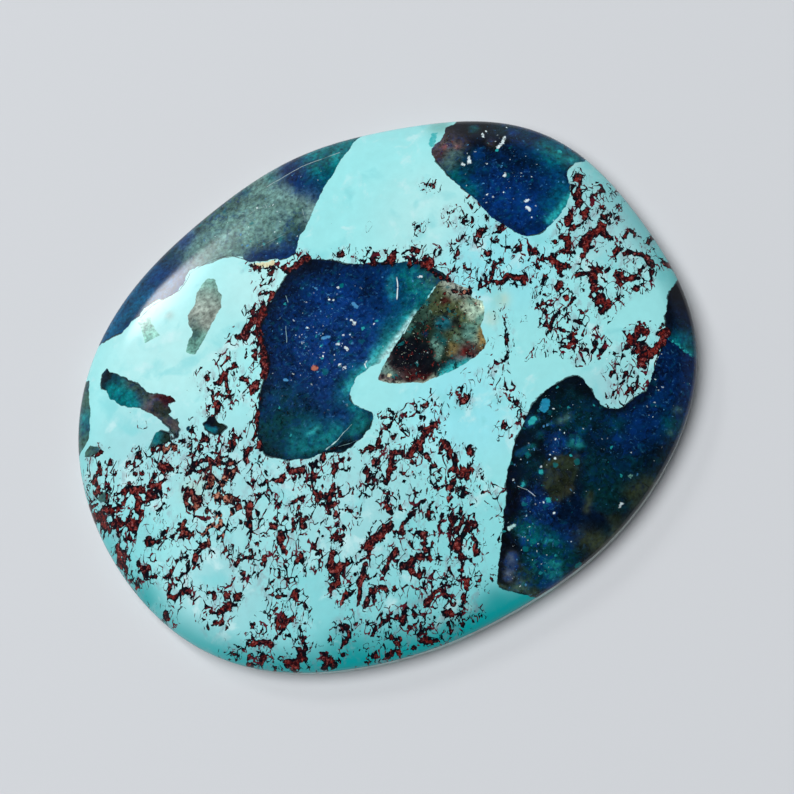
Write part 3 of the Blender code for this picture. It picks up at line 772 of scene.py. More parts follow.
southWestLace = (
    (15, -180, -93, 8, -2, 3, 3), (30, -170, -88, 7, -2), (15, -180, -86, 7, 0),
    (15, -150, -125, 7, 2), (20, -146, -142, 4, -3), (12, -179, -116, 5, -2),
    (15, -163, -117, 9, -4, 4, -4), (12, -170, -128, 7, -4, 7, 3), (15, -106, -87, 3, 2),
    (5, -105, -94, 3, -2), (19, -79, -84, 5, -2, 4, -1), (6, -82, -83, 3, 2),
    (6, -68, -85, 2, 3, -4, 2), (5, -91, -85, 2, 2), (10, -92, -89, 4, 0, -2, -4),
    (22, -83, -94, -2, -4, -3, -3, 2, -4), (20, -84, -104, 3, 1, 3, -2),
    (7, -86, -108, -2, -4, -3, -3, 0, -5), (5, -93, -113, -3, -1, 0, -3, 4, -1),
    (9, -91, -125, 1, 3, 3, 0, 3, -2, -4, -1), (5, -84, -124, 4, 1),
    (10, -84, -133, 2, 3, 4, 4, 3, 5, 4, 2, 2, 5, 3, 3), (5, -85, -138, 3, 2, 6, 4, 4, 3),
    (10, -76, -114), (6, -76, -110, 2, 2, 4, 0, 6, 0, 4, 0), (6, -57, -123, 4, 4),
    (10, -64, -132, 2, -1), (15, -56, -135), (12, -49, -128), (6, -67, -130, 1, -4),
    (5, -79, -145, 6, -1, 4, 0), (6, -88, -148, 4, 1, 6, -1), (19, -70, -148),
    (11, -74, -150, 7, -2, 5, -2, 5, 2), (14, -62, -155, -2, -4), (5, -85, -154, 4, 2, 7, 1),
    (12, -54, -158), (11, -62, -161, 3, -2, 4, -1), (10, -48, -162, 2, -3), (12, -84, -164),
    (7, -93, -167, 3, 2), (6, -78, -163, 4, 0), (12, -90, -172, 4, 1, 5, 0),
    (10, -76, -173, 5, -1, 6, -1), (14, -59, -173, 6, -4, 5, -1),
    (6, -105, -150, 5, 2, 2, 3, -2, 3), (8, -99, -140, 2, -2), (5, -110, -155, 4, 5),
    (5, -102, -138), (8, -123, -150), (7, -127, -156, 3, 0, 4, 2, 1, -4),
    (9, -133, -145, -4, 1, 3, 3), (8, -134, -138, 4, -1), (18, -132, -132, 3, 0),
    (13, -131, -128, 3, 0), (8, -136, -126, 4, -1, 4, 1), (20, -139, -120, 6, 2),
    (19, -128, -119, 3, 1), (6, -132, -117, 3, -1), (8, -122, -118),
    (10, -137, -115, 3, 2, 1, 4, -1, 2, -2, -1), (18, -129, -101, 5, -2),
    (13, -120, -104, 4, 1, -2, -5, 0, -2), (9, -120, -112, 4, 0, 0, -3),
    (6, -134, -91, 1, -5, 3, -4), (6, -130, -90, 8, 1, 4, -5, 1, -4), (10, -118, -94),
    (5, -133, -88, 3, 5), (6, -121, -89, 2, 6), (14, -103, -7, 2, 4, 3, 2, 6, -2, 1, -2),
    (10, -91, 6, -1, -3), (7, -99, -10, -4, -5, -3, -4), (8, -97, -6), (7, -94, -10),
    (18, -118, -36, 2, 0), (7, -121, -42, 2, 3, 6, -5, -3, -2), (12, -124, -46, 2, -4, 0, -3),
    (9, -130, -63, 6, 1), (7, -140, -65, 4, -2, 4, -1, 6, 1), (8, -138, -78, 3, 0),
    (25, -124, -73, -2, -4), (5, -128, -82, -4, -5), (5, -121, -80, -5, -2),
    (23, -110, -56, 2, -2), (30, -107, -64, -1, -4), (12, -109, -73, -1, -5, 4, 1, 2, 4),
    (14, -114, -66, -2, -2), (8, -119, -58, 4, -2), (10, -103, -64, 4, -2, 4, 3, 0, 3),
    (7, -105, -56, 5, 0, 5, -2, 7, -1), (20, -88, -64, 2, 0), (8, -90, -68),
    (10, -88, -56, 4, 2, 2, 3), (8, -99, -46, 3, -2, 5, -2, 9, 0), (6, -102, -48, 2, 2),
    (6, -99, -42, 1, 2), (18, -98, -27, -2, -1), (8, -108, -27, 6, -1), (24, -96, -32),
    (15, -98, -37), (14, -94, -30, 6, -2), (9, -88, -32, 6, 2, 2, 0), (6, -110, -30, 2, -3, 5, 0),
    (6, -80, -30, 0, 4, 1, 2), (16, -76, -32), (8, -73, -32, -1, -3), (7, -78, -38, 2, 1),
    (5, -96, -20, 1, -5), (8, -67, -39, 4, 6, 1, -5), (10, -56, -36, 0, 2, 5, 2),
    (4, -70, -42, 12, -4), (10, -53, -42, 3, -2, -5, -2, -2, -4, -2, -4, -1, -4),
    (12, -74, -46, -2, -3), (7, -76, -42, 2, 1), (9, -79, -51, 5, 0, 2, -3, 4, -4),
    (16, -66, -60, 3, 0, 5, 0), (8, -70, -54, 5, 3, 5, 1), (10, -66, -56, 6, -1),
    (8, -73, -58, -1, -2, 3, -2), (9, -70, -64, 5, -2, 1, -2, -3, -5), (5, -71, -68, -1, -3),
    (5, -64, -70, 9, -7), (10, -56, -77), (10, -50, -62), (7, -46, -66, 1, -5),
    (6, -38, -66, 4, 6), (10, -32, -65), (6, -36, -58, 5, 2), (4, -46, -42, 5, -1),
    (5, -46, -48, 5, -3), (6, -73, -78, 4, -1, 2, -3), (14, -34, -85, 0, -3), (10, -33, -82, 2, 1),
)

southLace = (
    (5, -8, -30, 4, -1, 2, -2), (6, -12, -39, 3, 1, 3, 0), (2, -5, -37, 7, 1, 8, 0, 5, -1),
    (13, 19, -36, 5, 0, -3, -2), (5, 17, -44), (3, 29, -36), (6, 46, -48, 4, 1, 0, 4),
    (2, 45, -40, 3, 2), (2, 60, -36, 5, -2), (8, 76, -40, 3, -2), (6, 73, -48, 3, 1),
    (3, 29, -48, 2, 3), (9, 77, -55), (11, 75, -62), (9, 78, -67), (5, 64, -76, -4, -3),
    (7, 73, -79, 5, 1), (7, 4, -48, 6, -1, 6, -2, 7, -3), (11, 6, -50, -2, -4),
    (26, -1, -61, 3, 1, 4, 1, -1, -4), (12, 10, -58, 4, 3, 3, 0, 4, -2, 1, 2),
    (8, 5, -64, 2, -5, 0, -5, -1, -3, 2, 0), (2, 5, -77, -4, -6, -1, -4, -2, -2, -7, 1, -4, 1),
    (10, 19, -60, 2, -4, 1, -4, -1, -6, -2, -4), (3, 16, -66, 3, 2), (2, 11, -68, 5, -4),
    (14, 24, -81, 2, 2, 3, 2), (10, 33, -81), (12, 24, -86, 0, -2), (27, 22, -91, 6, -1, -4, -3),
    (8, 15, -85, 3, 1), (16, -20, -65, 4, 0), (5, -14, -54, 0, -3, -3, -3, -1, -3),
    (5, -13, -55, 5, -2, 3, -2, 3, -1), (2, -7, -59, 1, -5, 2, -5), (3, -21, -66, -3, -3, -2, -2),
    (8, -14, -69, 2, -5, 4, -2, 0, 2), (6, -29, -77), (8, -29, -65), (9, -30, -44, 4, 1, 2, -2),
    (14, -28, -56, 4, 1), (8, -19, -47, 3, -1), (5, -18, -45, 5, 4), (3, -7, -46, 4, 2, 3, 0),
    (12, -26, -91, 2, -3, 3, -2, 4, 1, 3, 4), (6, -30, -102, 4, 2, 5, 1),
    (9, -2, -92, -2, -5, -3, -2, -3, -3, -4, -7), (12, -4, -98, -2, -1), (12, -9, -104, 3, -1),
    (6, -5, -104, 4, 1, 3, 3, 5, 1), (5, 2, -94, 3, 0, 4, -2), (12, 9, -96), (4, 10, -98, 4, 5),
    (6, 18, -100, -1, -3, -5, -4, -2, -4, -6, -8, -5, -4), (5, 17, -103, 4, -3),
    (20, 3, -115, -2, -1), (13, 0, -117, -4, -3, -3, -4, -2, -3), (22, -22, -115, 2, 1),
    (10, -13, -116, -1, -2), (6, -9, -113, 3, 1, 3, 3), (30, -59, -103, 9, 2, 6, 3, 6, 0),
    (17, -37, -103, 3, -3, 2, 0), (6, -32, -104, 3, 3), (7, -50, -118, 4, 2, 3, 1),
    (7, -32, -117, 1, 4, 2, 1), (19, -25, -120, 0, -3), (4, -20, -124, 10, 10),
    (4, -16, -123, 6, 5), (25, -5, -132, 2, 1), (15, -2, -130, 4, 2, 4, 3, 4, 2, 2, -2),
    (10, 6, -130, 0, -5, -2, -4, 0, -3), (17, 4, -142), (9, 2, -142, -7, 0, -1, 2),
    (16, -16, -143, 1, -3, 5, -1, 2, 3), (20, -14, -156, 2, 2, 3, 0), (8, -16, -151, 2, -7),
    (14, -8, -161, 4, 2), (5, -8, -164, 0, 2), (20, -18, -165, 3, 2), (20, -42, -155, 6, 2, 6, 1),
    (6, -30, -154, 4, -4), (5, -28, -150, 8, -3), (12, -31, -142, 1, 2, 2, 0),
    (8, -39, -137, 5, 3), (5, -39, -144, 3, 3), (25, -44, -125, 4, -1, 2, 1),
    (15, -41, -130, 2, -3), (14, -32, -125, 2, -2), (10, -26, -130), (13, -20, -132, 2, -1),
    (13, -36, -167, 4, -1, 3, -1), (10, -27, -163), (10, -43, -165), (10, -36, -173, -2, -5),
    (8, -18, -175, 2, 1), (8, -50, -168, 4, 0), (8, 33, -125), (4, 36, -112, 4, -2, 2, 2),
)

eastLace = (
    (30, 174, 13, 7, 2, 6, 1, 5, 2), (20, 164, 25, 5, -3, -3, -6, -3, -4),
    (12, 170, 24, 6, 3, 8, -1), (27, 146, 16, 5, -3), (12, 154, 14, 6, 1, 4, -2, 2, -2),
    (20, 150, 11, 2, -5, 6, -4), (20, 165, 2, 5, 4), (10, 172, 8, 9, 0),
    (16, 157, -5, 5, -1, 4, -2, 4, -2), (20, 168, -10, -3, -5, -1, -5, 5, -2),
    (28, 166, -28, -1, -4), (7, 160, -15, 0, -9, 0, -14), (10, 160, -37, 10, 3, 10, 0),
    (6, 161, -39, 14, 3), (8, 170, -4, 4, -5, 2, -3), (10, 170, -14, 5, -5, 3, -4),
    (15, 180, -13, 6, 2, 3, 3, 2, 4, 5, 2, 4, -4, 3, -4, 5, -4, 2, -6, -2, -7, -5, -3, -5, 1, -3,
     2, -5, 1, -4, 3),
    (22, 196, -7, 2, 1), (14, 208, -17, 0, -4), (6, 202, -15, 0, -8, -4, -3), (16, 203, -27, 2, 1),
    (17, 183, -16, 5, 0, -2, -4, -4, -4, 2, -4), (13, 184, -31, 7, -3, 6, 2),
    (8, 129, -6, 5, 4, 5, 6, 5, 1, 4, 3), (7, 130, -6, 8, -4), (9, 126, -12, 0, -6),
    (7, 128, -13, 9, -4, 1, 5), (20, 142, -8, 4, 2), (20, 144, -17, 6, -3, -6, -2, -6, -2),
    (15, 138, -25, -1, -6), (13, 112, -40, 10, 7, 5, 5, 6, 4), (12, 150, -32, 5, 0),
    (6, 149, 9, 1, -10), (27, 198, 24, 4, 0), (8, 200, 18, 4, -2, 2, 4),
    (7, 191, 12, 5, -6, 4, -3, 8, 5, 2, -4), (14, 203, 4), (18, 215, -7, 4, 3),
    (17, 217, -23, 2, -3), (22, 190, 48, 5, 6, 3, 6), (6, 187, 47, 3, 9),
    (12, 172, 32, 6, 3, 6, 4, 4, 4), (13, 185, 30, 3, 4, 3, 0, 7, -2), (11, 202, 42, 4, 2),
    (5, 212, 40, 2, -7, -4, -4), (8, 128, 33, 6, -1, 3, 1), (6, 129, 30, 6, 0),
    (7, 120, 48, 4, -5, 4, 3, -4, 4), (6, 129, 51, 4, 1), (9, 124, 58), (6, 137, 25, 3, 3),
    (7, 143, 23), (7, 159, 24), (7, 139, 14, 2, -2), (8, 120, 16, 4, -4, 5, -2), (14, 125, 8),
    (10, 130, -36, 4, -3), (12, 130, -42, 9, -1, 6, -2, 7, -1), (13, 132, -48, 6, -1, 5, 2, 5, 1),
    (13, 132, -51, 6, -1, 4, 1, 6, 1), (10, 132, -56, 4, 2, 4, -3, 6, 5),
    (8, 126, -56, 3, -2, 3, 2), (10, 140, -59, 7, 3), (6, 137, -39, 5, 4, 4, -4),
    (6, 140, -40, 0, -9), (5, 135, -43, 1, -6), (8, 156, -44, 7, 2),
    (10, 121, -48, 4, 2, 3, -3, 3, -2), (7, 124, -42, 4, -4),
    (12, 151, -76, 3, 3, 6, 3, 5, 3, 4, 3, 6, 2, 3, 1, 2, -3, 0, -4),
    (16, 156, -76, 4, 2, 4, 1, 6, -1, 5, 0, 1, -4, -6, 0), (10, 156, -79, 6, 3),
    (20, 166, -82, 1, -4), (15, 170, -81, 4, 2, 6, 1, 6, 2, 4, 2, 4, 2), (12, 187, -70, 6, 0),
    (12, 144, -80, 4, 1, -2, -5), (18, 151, -86, 3, 2), (13, 143, -92, 3, 3, 5, 1),
    (10, 134, -98, 4, 3, 2, 3), (12, 156, -95, 3, 4, 4, 3), (10, 148, -96, 3, 2),
    (8, 151, -98, 7, 2), (12, 134, -102), (10, 151, -102, 5, 2),
)

centreEastLace = (
    (12, 104, 18, 5, 6, 4, 4, 5, 1), (15, 105, 18, 7, -2, 6, 2, 3, -5, 6, -3),
    (17, 112, 68, 3, -1), (12, 96, 58, 2, -1), (12, 105, 53, 0, 4), (7, 112, 50, 4, 5, 6, 1),
    (15, 114, 39, 2, 0), (12, 126, 65, 0, -2), (9, 124, 76, 2, -4), (7, 102, 74, 3, -4),
    (7, 108, 71, 3, 3), (12, 102, 109, 2, -5), (7, 105, 80, 3, -2),
    (6, 82, -37, 5, 2, 3, 2, 3, 7, 5, 11, 4, 10), (10, 24, 92, 2, 0), (15, 80, 82, 2, 0),
)

poolRimsLace = (
    (30, -59, 50, 3, 9, 2, 7), (30, -54, 72, 5, 5, 5, 4), (25, -64, 73, 5, 4, 6, 3),
    (15, -68, 76, 4, -2), (20, -50, 88, 3, 0), (25, -43, 83, 7, 4, 6, 4), (12, -30, 92, -9, 4),
    (20, -66, 39, 3, 4, 4, 4), (30, -70, 37, -4, -2), (12, -76, 36, -7, -1), (12, -60, 59, -3, 2),
    (15, -63, 55, -1, 2), (20, -13, 100, 7, 2, 6, 1), (12, -1, 103, 4, -2), (12, -35, 103, 3, 2),
    (12, -26, 106, 2, 0), (25, -78, 47, 2, -2), (15, -91, -4, 2, 10, 5, 7, 5, 8, 6, 9),
    (12, -65, -33, 4, -1), (20, -78, -31, 5, -2), (12, -56, -35, 3, 3, 7, 1),
    (7, -36, 120, 5, -5, 5, -4, 6, -1), (8, 31, 80, 3, -1, 5, -1, 4, -1, 4, -3, 3, -2, 4, 0),
    (12, 31, 78, 6, -2, 4, -3, 5, -3, 5, -2), (14, 54, 70, 3, 0), (6, 58, 72, 1, 0),
    (6, 61, 69, 3, 0, 4, 1), (13, 68, 69, 3, -3, 2, -2), (13, 62, 66, 2, -4, -2, -3),
    (8, 60, 67, -1, -1), (8, 67, 62, 0, -3), (13, 69, 57, 3, -2, 2, -3),
    (15, 71, 53, 2, -5, 2, -5, 2, -4), (8, 76, 55, 1, -4), (8, 77, 49, 1, -4),
    (9, 78, 42, 2, -3, 0, -4), (8, 72, 59, 2, -1), (2, 94, 50, 0, -2, 2, 3), (6, 94, 39, 3, -4),
    (6, 86, 39, 1, 0), (5, 92, 34), (5, 30, 86, 2, -2), (5, 41, 82), (3, 82, 59), (2, 85, 58),
    (16, 94, 24, 4, 1), (19, 91, 22, 3, -2), (10, 100, 30, -1, -3), (17, 80, 25, 4, -3, 5, -3),
    (10, 71, 26, 5, 0),
)

laceStrokes = westLace + southWestLace + southLace + eastLace + centreEastLace + poolRimsLace

# Single crystals and chips, each as (colour, half its width, then the points of its run)

specks = (
    ("frost", 0.15, 0.85, 4), ("frost", 0.07, 0.75, 4.35), ("frost", 0.06, -1.4, 4.55),
    ("skyGlint", 0.08, -1.55, 4.25, -1.15, 4.05), ("frost", 0.12, -0.85, 3.25),
    ("frost", 0.09, -0.55, 2.75, -0.45, 2.6), ("frost", 0.05, 0.3, 3.1),
    ("frost", 0.05, -0.2, 3.65), ("frost", 0.11, -1.3, 1.5), ("frost", 0.06, -1.45, 1.85),
    ("skyGlint", 0.08, -5.15, 2.85, -5.3, 2.95), ("frost", 0.06, -3, 4.7),
    ("frost", 0.06, -2.15, 5.5), ("frost", 0.05, 0.8, 6.65), ("frost", 0.05, 0.15, 6.55),
    ("frost", 0.05, -1.4, 7.25), ("frost", 0.04, -3.8, 6.35), ("frost", 0.04, -3.5, 7.2),
    ("frost", 0.04, 1.1, 7), ("skyGlint", 0.11, 1.45, 5.35, 1.55, 5), ("frost", 0.04, 2.45, 6.1),
    ("frost", 0.04, -5.9, 1.45), ("frost", 0.05, 6.35, 4.7, 6.55, 4.65),
    ("skyGlint", 0.06, -0.2, 7.7, -0.4, 7.95), ("skyGlint", 0.05, -1, 8.3),
    ("skyGlint", 0.08, -2.6, 4.9), ("skyGlint", 0.07, -4.2, 4.4), ("skyGlint", 0.06, -0.1, 0.95),
    ("rust", 0.15, -3.15, 2.6, -3, 2.5), ("maroon", 0.08, -2.95, 2.65),
    ("glowTeal", 0.09, -6.8, -0.7), ("frost", 0.1, 13.1, 11, 13.15, 10.85),
    ("frost", 0.1, 13.75, 11.2, 13.6, 10.8), ("frost", 0.1, 15.9, 10.9, 16.3, 11.05, 16.75, 11.45),
    ("frost", 0.06, 15.45, 12.2, 15.5, 12.45), ("frost", 0.05, 15.85, 12.6),
    ("frost", 0.05, 14.6, 10.1), ("frost", 0.08, 15.2, 8.6, 15.35, 8.7),
    ("frost", 0.08, 13.7, 7.5), ("frost", 0.05, 13.5, 7.9), ("frost", 0.05, 13.1, 7.35),
    ("frost", 0.05, 13.25, 8.55), ("skyGlint", 0.08, 18.3, 9.4), ("skyGlint", 0.09, 15.4, 9.4),
    ("frost", 0.09, 15.4, 5.65, 15.5, 5.35), ("frost", 0.06, 15.6, 6.1, 15.85, 6.05),
    ("frost", 0.04, 15.3, 4.75), ("skyGlint", 0.07, 17.35, 7.75), ("skyGlint", 0.06, 17.65, 7.5),
    ("glowTeal", 0.13, 19.6, 8.55), ("glowTeal", 0.22, 12, 13.6, 12.5, 14.3),
    ("chipBlue", 0.28, 9.25, -7.85, 9.6, -7.6), ("glowTeal", 0.18, 8, -8.3, 8.3, -8.2),
    ("milkAqua", 0.1, 3.1, -13.9, 3.5, -13.85), ("glowTeal", 0.18, 6.4, -13.5),
    ("frost", 0.07, 8.2, -11.25), ("frost", 0.05, 11.65, -11.6), ("frost", 0.04, 11.2, -11.45),
    ("skyGlint", 0.05, 15.1, -11.5), ("frost", 0.05, 6.2, -14.45, 6.4, -14.5),
    ("frost", 0.05, 5, -11.2), ("glowTeal", 0.14, 6.9, -11.6), ("glowTeal", 0.14, 5.4, -11.8),
    ("frost", 0.04, 10.3, -16.1, 10.7, -15.95), ("leafGreen", 0.12, 12.1, -14.7),
    ("frost", 0.06, 8.85, -10.15), ("glowTeal", 0.05, 19.2, -7.6, 19.6, -8.4, 20, -9.3),
    ("frost", 0.04, 14.7, -6.9), ("sand", 0.2, -3.3, 11.8, -2.7, 11.5, -2.1, 11.3),
    ("frost", 0.04, 3.9, -0.4), ("frost", 0.04, 4.3, -0.5), ("frost", 0.04, 3.1, 0.5),
    ("frost", 0.035, 3.3, -0.8), ("sand", 0.12, 1.2, -0.6),
)

# Hairlines: colour, half width, how far it covers, then the points it runs straight between

hairlines = (
    ("frost", 0.045, 0.8, 5.03, 5.57, 4.71, 4.77), ("frost", 0.05, 0.8, 4.71, 4.77, 4.24, 3.95),
    ("milkAqua", 0.05, 0.9, 4.36, 2.15, 3.42, 1.53), ("frost", 0.04, 0.9, 0.09, 1.07, 0.04, 0.64),
    ("frost", 0.04, 0.8, 0.36, 1.16, 0.09, 0.96),
    ("milkAqua", 0.025, 0.7, -2.7, -2.34, -3.46, -2.55),
    ("milkAqua", 0.03, 0.75, -3.46, -2.55, -4.2, -2.82),
    ("milkAqua", 0.05, 0.8, -4.2, -2.82, -5.18, -2.96),
    ("milkAqua", 0.02, 0.45, -4.31, -3.21, -3.44, -3.44, -2.79, -3.55),
    ("milkAqua", 0.03, 0.5, -3.39, 6.46, -3.94, 5.26),
    ("milkAqua", 0.03, 0.5, -2.4, 8.53, -2.48, 7.9),
    # the first grey line, along the ridge, is a painted highlight; the others are scratches
    ("softGrey", 0.035, 0.7, 0.14, 17.19, 2.96, 17.25, 6.07, 16.74),
    ("softGrey", 0.03, 0.6, -1.32, 15.97, -0.15, 15.49),
    ("softGrey", 0.03, 0.5, -0.44, 16.12, -0.51, 15.46),
    ("softGrey", 0.03, 0.5, 1.67, 13.97, 1.35, 12.83),
    ("softGrey", 0.025, 0.4, -2.27, 12.97, -0.26, 12.83),
    ("softGrey", 0.03, 0.5, -1.85, 15.84, -1.27, 15.85),
    ("nearBlack", 0.04, 0.9, 12.66, -15.44, 12.89, -15.91),
    ("frost", 0.03, 0.6, 5.02, -11.65, 5.52, -12.24, 5.77, -12.89),
    ("nearBlack", 0.045, 0.8, -12.26, 13.01, -11.09, 13.33, -9.77, 13.27, -8.78, 13.25, -8, 13.66,
     -7.58, 14.04, -6.64, 14.07, -5.52, 13.98, -4.38, 13.58, -3.92, 12.98, -3.34, 12.31),
)

# Where smaller things gather, as (x, y, reach, amount)

gatherings = {
    "netAmount": (
        (15.8, -1.5, 1.8, 0.5), (19.6, -1.8, 1.2, 0.6), (14, -4.8, 1.3, 0.9), (20.2, 4, 1.2, 0.4),
        (15.6, -8.8, 1, 0.7), (16.6, -7.4, 1.2, 0.9), (18.2, -7.2, 1, 0.8), (-0.5, -11, 3.4, 0.35),
        (-0.5, -14, 3, 0.35), (-4, -12, 3, 0.3), (-7, -13, 3, 0.25), (-14.5, -13, 2, 0.6),
        (-12, -9.5, 1.2, 0.3), (-10, 5, 1.6, 0.6), (-6, -16.5, 2.5, 0.5), (-3, -16.5, 1.5, 0.5),
        (-10, -15.5, 2, 0.3), (-19.5, -4.5, 2.2, 0.6),
    ),
    "threadAmount": (
        (10.5, -1.5, 2.5, 0.3), (10, 5, 3, 0.5), (11.5, 9, 1.5, 0.4), (6.5, -7.5, 2, 0.3),
        (9, -5, 2, 0.3), (-1, -10, 4, 0.9), (-1.5, -14, 4, 0.9), (1, -7, 3, 0.45),
        (-6, -9, 4, 0.35), (-8, -13, 3.5, 0.45), (-14, -5, 5, 0.45), (-15, 1.5, 4, 0.5),
        (16.5, -1, 3.5, 0.5), (16.5, -7.8, 2, 0.7), (-14, -11, 4, 0.6), (-9, 4.5, 2.5, 0.6),
        (4, 9.5, 2, 0.3), (20, 3, 2, 0.6), (-4.8, -15.6, 2.4, 1), (-2.8, -15.1, 2, 1),
        (-1.3, -11, 2.2, 1), (0.1, -13.5, 2, 1), (-12.9, -10.6, 1.4, 0.9), (-15.7, -13.4, 1.8, 1),
        (-17.5, -11.4, 1.3, 0.9), (-8.9, -12.2, 1, 0.7), (-13.2, -13.6, 1.2, 0.9),
    ),
    "sparkleAmount": (
        (-1.5, 4, 3.2, 1), (0.5, 6, 2.4, 0.7), (-5, 2.5, 2, 0.5), (-1, 2, 2, 0.8),
        (6, 4.5, 1.6, 0.5), (15, 8, 3, 0.6), (16, 11, 2.4, 0.5), (-3, 15.5, 3, 0.6),
        (0, 13, 1.6, 0.5), (3, 16, 1.6, 0.4), (9, -10, 3, 0.8), (5, -13, 2.4, 1), (4, -16, 2, 1),
        (12, -12, 3, 0.5), (16, -10.5, 3, 0.5), (5, 0.5, 3, 0.4),
    ),
    "gritAmount": (
        (2.6, -0.6, 2, 1), (4.4, -1.2, 1.6, 1), (6, 0.6, 2, 0.75), (7.4, -1, 1.2, 0.8),
        (9.5, -8.5, 2, 0.45), (6, -11, 1.8, 0.4), (4, -14, 1.8, 0.35), (3.5, -16.8, 1.8, 0.35),
        (12.9, 12.8, 1.3, 0.9), (15, 13, 1.5, 0.4), (-2, 15.5, 3, 0.12),
    ),
    "salmonAmount": (
        (-14.3, -2.9, 1.3, 1), (-13.3, -1.9, 0.9, 0.9), (-12.4, -1, 0.9, 0.9),
        (-14.6, 3.2, 0.5, 0.8), (-12.2, 4.9, 0.5, 0.7), (-13.6, -4.6, 0.6, 0.9),
        (8.7, 2.2, 0.7, 0.5), (-3.1, 2.5, 0.4, 0.8),
    ),
}

# How the figure runs down into the stone, for each millimetre of depth
figureRun = {
    "shear": (-0.35, 0.25),
    "waver": 0.5,            # sideways, growing with the depth
    "waverLength": 8.0,
    "waverStart": (1.0, 2.0),
    "shoulderPaintedShade": 0.97,   # painted shade: how much of the shaded teal the shoulder is painted with at its edge
    "shoulderReach": 1.3,    # widths of the shoulder over which it fades
    "shadeTowards": (0.45, -0.65),  # how much of it all round, and more towards -Y
    "belowShade": 0.3,
    "chipBend": 0.12,
    "chipWaves": ((5.3, 1.7), (4.9, -2.3)),  # across and along, of the bend in x and in y
    "closeBy": 1.0,          # how far past its run a stroke or speck is looked for
    "strokeSpread": 0.05,    # wider than drawn, before the material frays the strokes
    "baseWeight": 0.25,
    "gatheringFade": 0.9,
    "faceTolerance": 1e-6,
}
farOff = 1e9


def pairs(numbers):
    return list(zip(numbers[::2], numbers[1::2]))


def walked(numbers):
    # the points of an edge or stroke, in millimetres
    return np.cumsum(pairs(numbers), axis=0) / 10


def distanceToRun(x, y, run):
    nearest = np.full(len(x), farOff)
    run = list(run) if len(run) > 1 else list(run) * 2
    for (ax, ay), (bx, by) in zip(run, run[1:]):
        dx, dy = bx - ax, by - ay
        along = np.clip(((x - ax) * dx + (y - ay) * dy) / max(dx * dx + dy * dy, tiny), 0, 1)
        nearest = np.minimum(nearest, np.hypot(x - ax - along * dx, y - ay - along * dy))
    return nearest


def closeBy(x, y, run):
    # which points lie in the box round a run, or a little outside it
    beyond = figureRun["closeBy"]
    (west, south), (east, north) = np.min(run, axis=0) - beyond, np.max(run, axis=0) + beyond
    return np.flatnonzero((x > west) & (x < east) & (y > south) & (y < north))


def depthInside(x, y, edge):
    # distance in from a closed edge, less than nothing outside it
    inside = np.zeros(len(x), bool)
    closed = list(edge) + [edge[0]]
    for (ax, ay), (bx, by) in zip(closed, closed[1:]):
        if ay != by:
            crosses = (ay > y) != (by > y)
            inside ^= crosses & (x < (bx - ax) * (y - ay) / (by - ay) + ax)
    away = distanceToRun(x, y, closed)
    return np.where(inside, away, -away)


def washedColour(x, y, washes, base=None):
    total = np.zeros((len(x), 4))
    weight = np.zeros(len(x))
    if base:
        total += figureRun["baseWeight"] * np.array(colours[base])
        weight += figureRun["baseWeight"]
    for wx, wy, reach, name in washes:
        share = np.exp(-((x - wx) ** 2 + (y - wy) ** 2) / reach**2) + (0 if base else tiny)
        total += share[:, None] * np.array(colours[name])
        weight += share
    return total / weight[:, None]


def blendIn(under, share, over):
    return under + (np.array(over) - under) * share[:, None]


def chipOver(x, y, wash, chips):
    # chips of another colour, whose outlines are bent a little
    bend = figureRun["chipBend"]
    (a, b), (c, d) = figureRun["chipWaves"]
    x, y = x + bend * np.sin(a * y + b * x), y + bend * np.sin(c * x + d * y)
    for name, most, softness, *edge in chips:
        share = most * np.clip(depthInside(x, y, pairs(edge)) / softness + 0.5, 0, 1)
        wash = blendIn(wash, share, colours[name])
    return wash


def glowOver(x, y, wash, glows):
    for name, reach, most, *run in glows:
        share = most * np.exp(-((distanceToRun(x, y, pairs(run)) / reach) ** 2))
        wash = blendIn(wash, share, colours[name])
    return wash


def washPatch(x, y, patch):
    # a patch's washes, then its chips, then its glows
    wash = washedColour(x, y, patch["washes"])
    wash = chipOver(x, y, wash, patch.get("chips", ()))
    return glowOver(x, y, wash, patch.get("glows", ()))


def placesInFigure():
    # where on the face each point's figure is, whether it is on the face, and its painted shade:
    # the shoulder is painted darker teal as shade, most on the near and left sides
    x, y, z = stonePoints.T
    run = figureRun
    radius, shoulder = girdleRadius(np.arctan2(y, x)), shoulderWidth(np.arctan2(y, x))
    onFace = z >= topHeight(np.zeros(len(x)), radius, shoulder) - run["faceTolerance"]
    depth = np.clip(stoneCut["girdleTop"] + stoneCut["shoulderRise"] - z, 0, None)
    depth = np.where(onFace, 0, depth)
    turn = 2 * np.pi / run["waverLength"]
    waver = run["waver"] * depth
    u = x + run["shear"][0] * depth + waver * np.sin(turn * y + run["waverStart"][0])
    v = y + run["shear"][1] * depth + waver * np.sin(turn * x + run["waverStart"][1])
    inset = radius - np.hypot(x, y)
    allRound, towards = run["shadeTowards"]
    shade = np.clip(run["shoulderReach"] - inset / shoulder, 0, 1)
    shade = shade * np.clip(allRound + towards * y / radius, 0, 1)
    return u, v, onFace, np.where(onFace, run["shoulderPaintedShade"] * shade, run["belowShade"])


def figurePools(u, v):
    poolDepth = np.full(len(u), -farOff)
    wash = np.zeros((len(u), 4))
    for pool in pools:
        inside = depthInside(u, v, walked(pool["edge"]))
        nearer = inside > poolDepth
        wash[nearer] = washPatch(u[nearer], v[nearer], pool) * pool.get("shade", 1.0)
        poolDepth = np.maximum(poolDepth, inside)
    return poolDepth, wash


def figureGround(u, v):
    wash = washedColour(u, v, ground["washes"], ground["base"])
    for sx, sy, reach, name, amount in ground["stainsAndPaintedShade"]:
        share = amount * np.exp(-((u - sx) ** 2 + (v - sy) ** 2) / reach**2)
        wash = blendIn(wash, share, colours[name])
    return wash


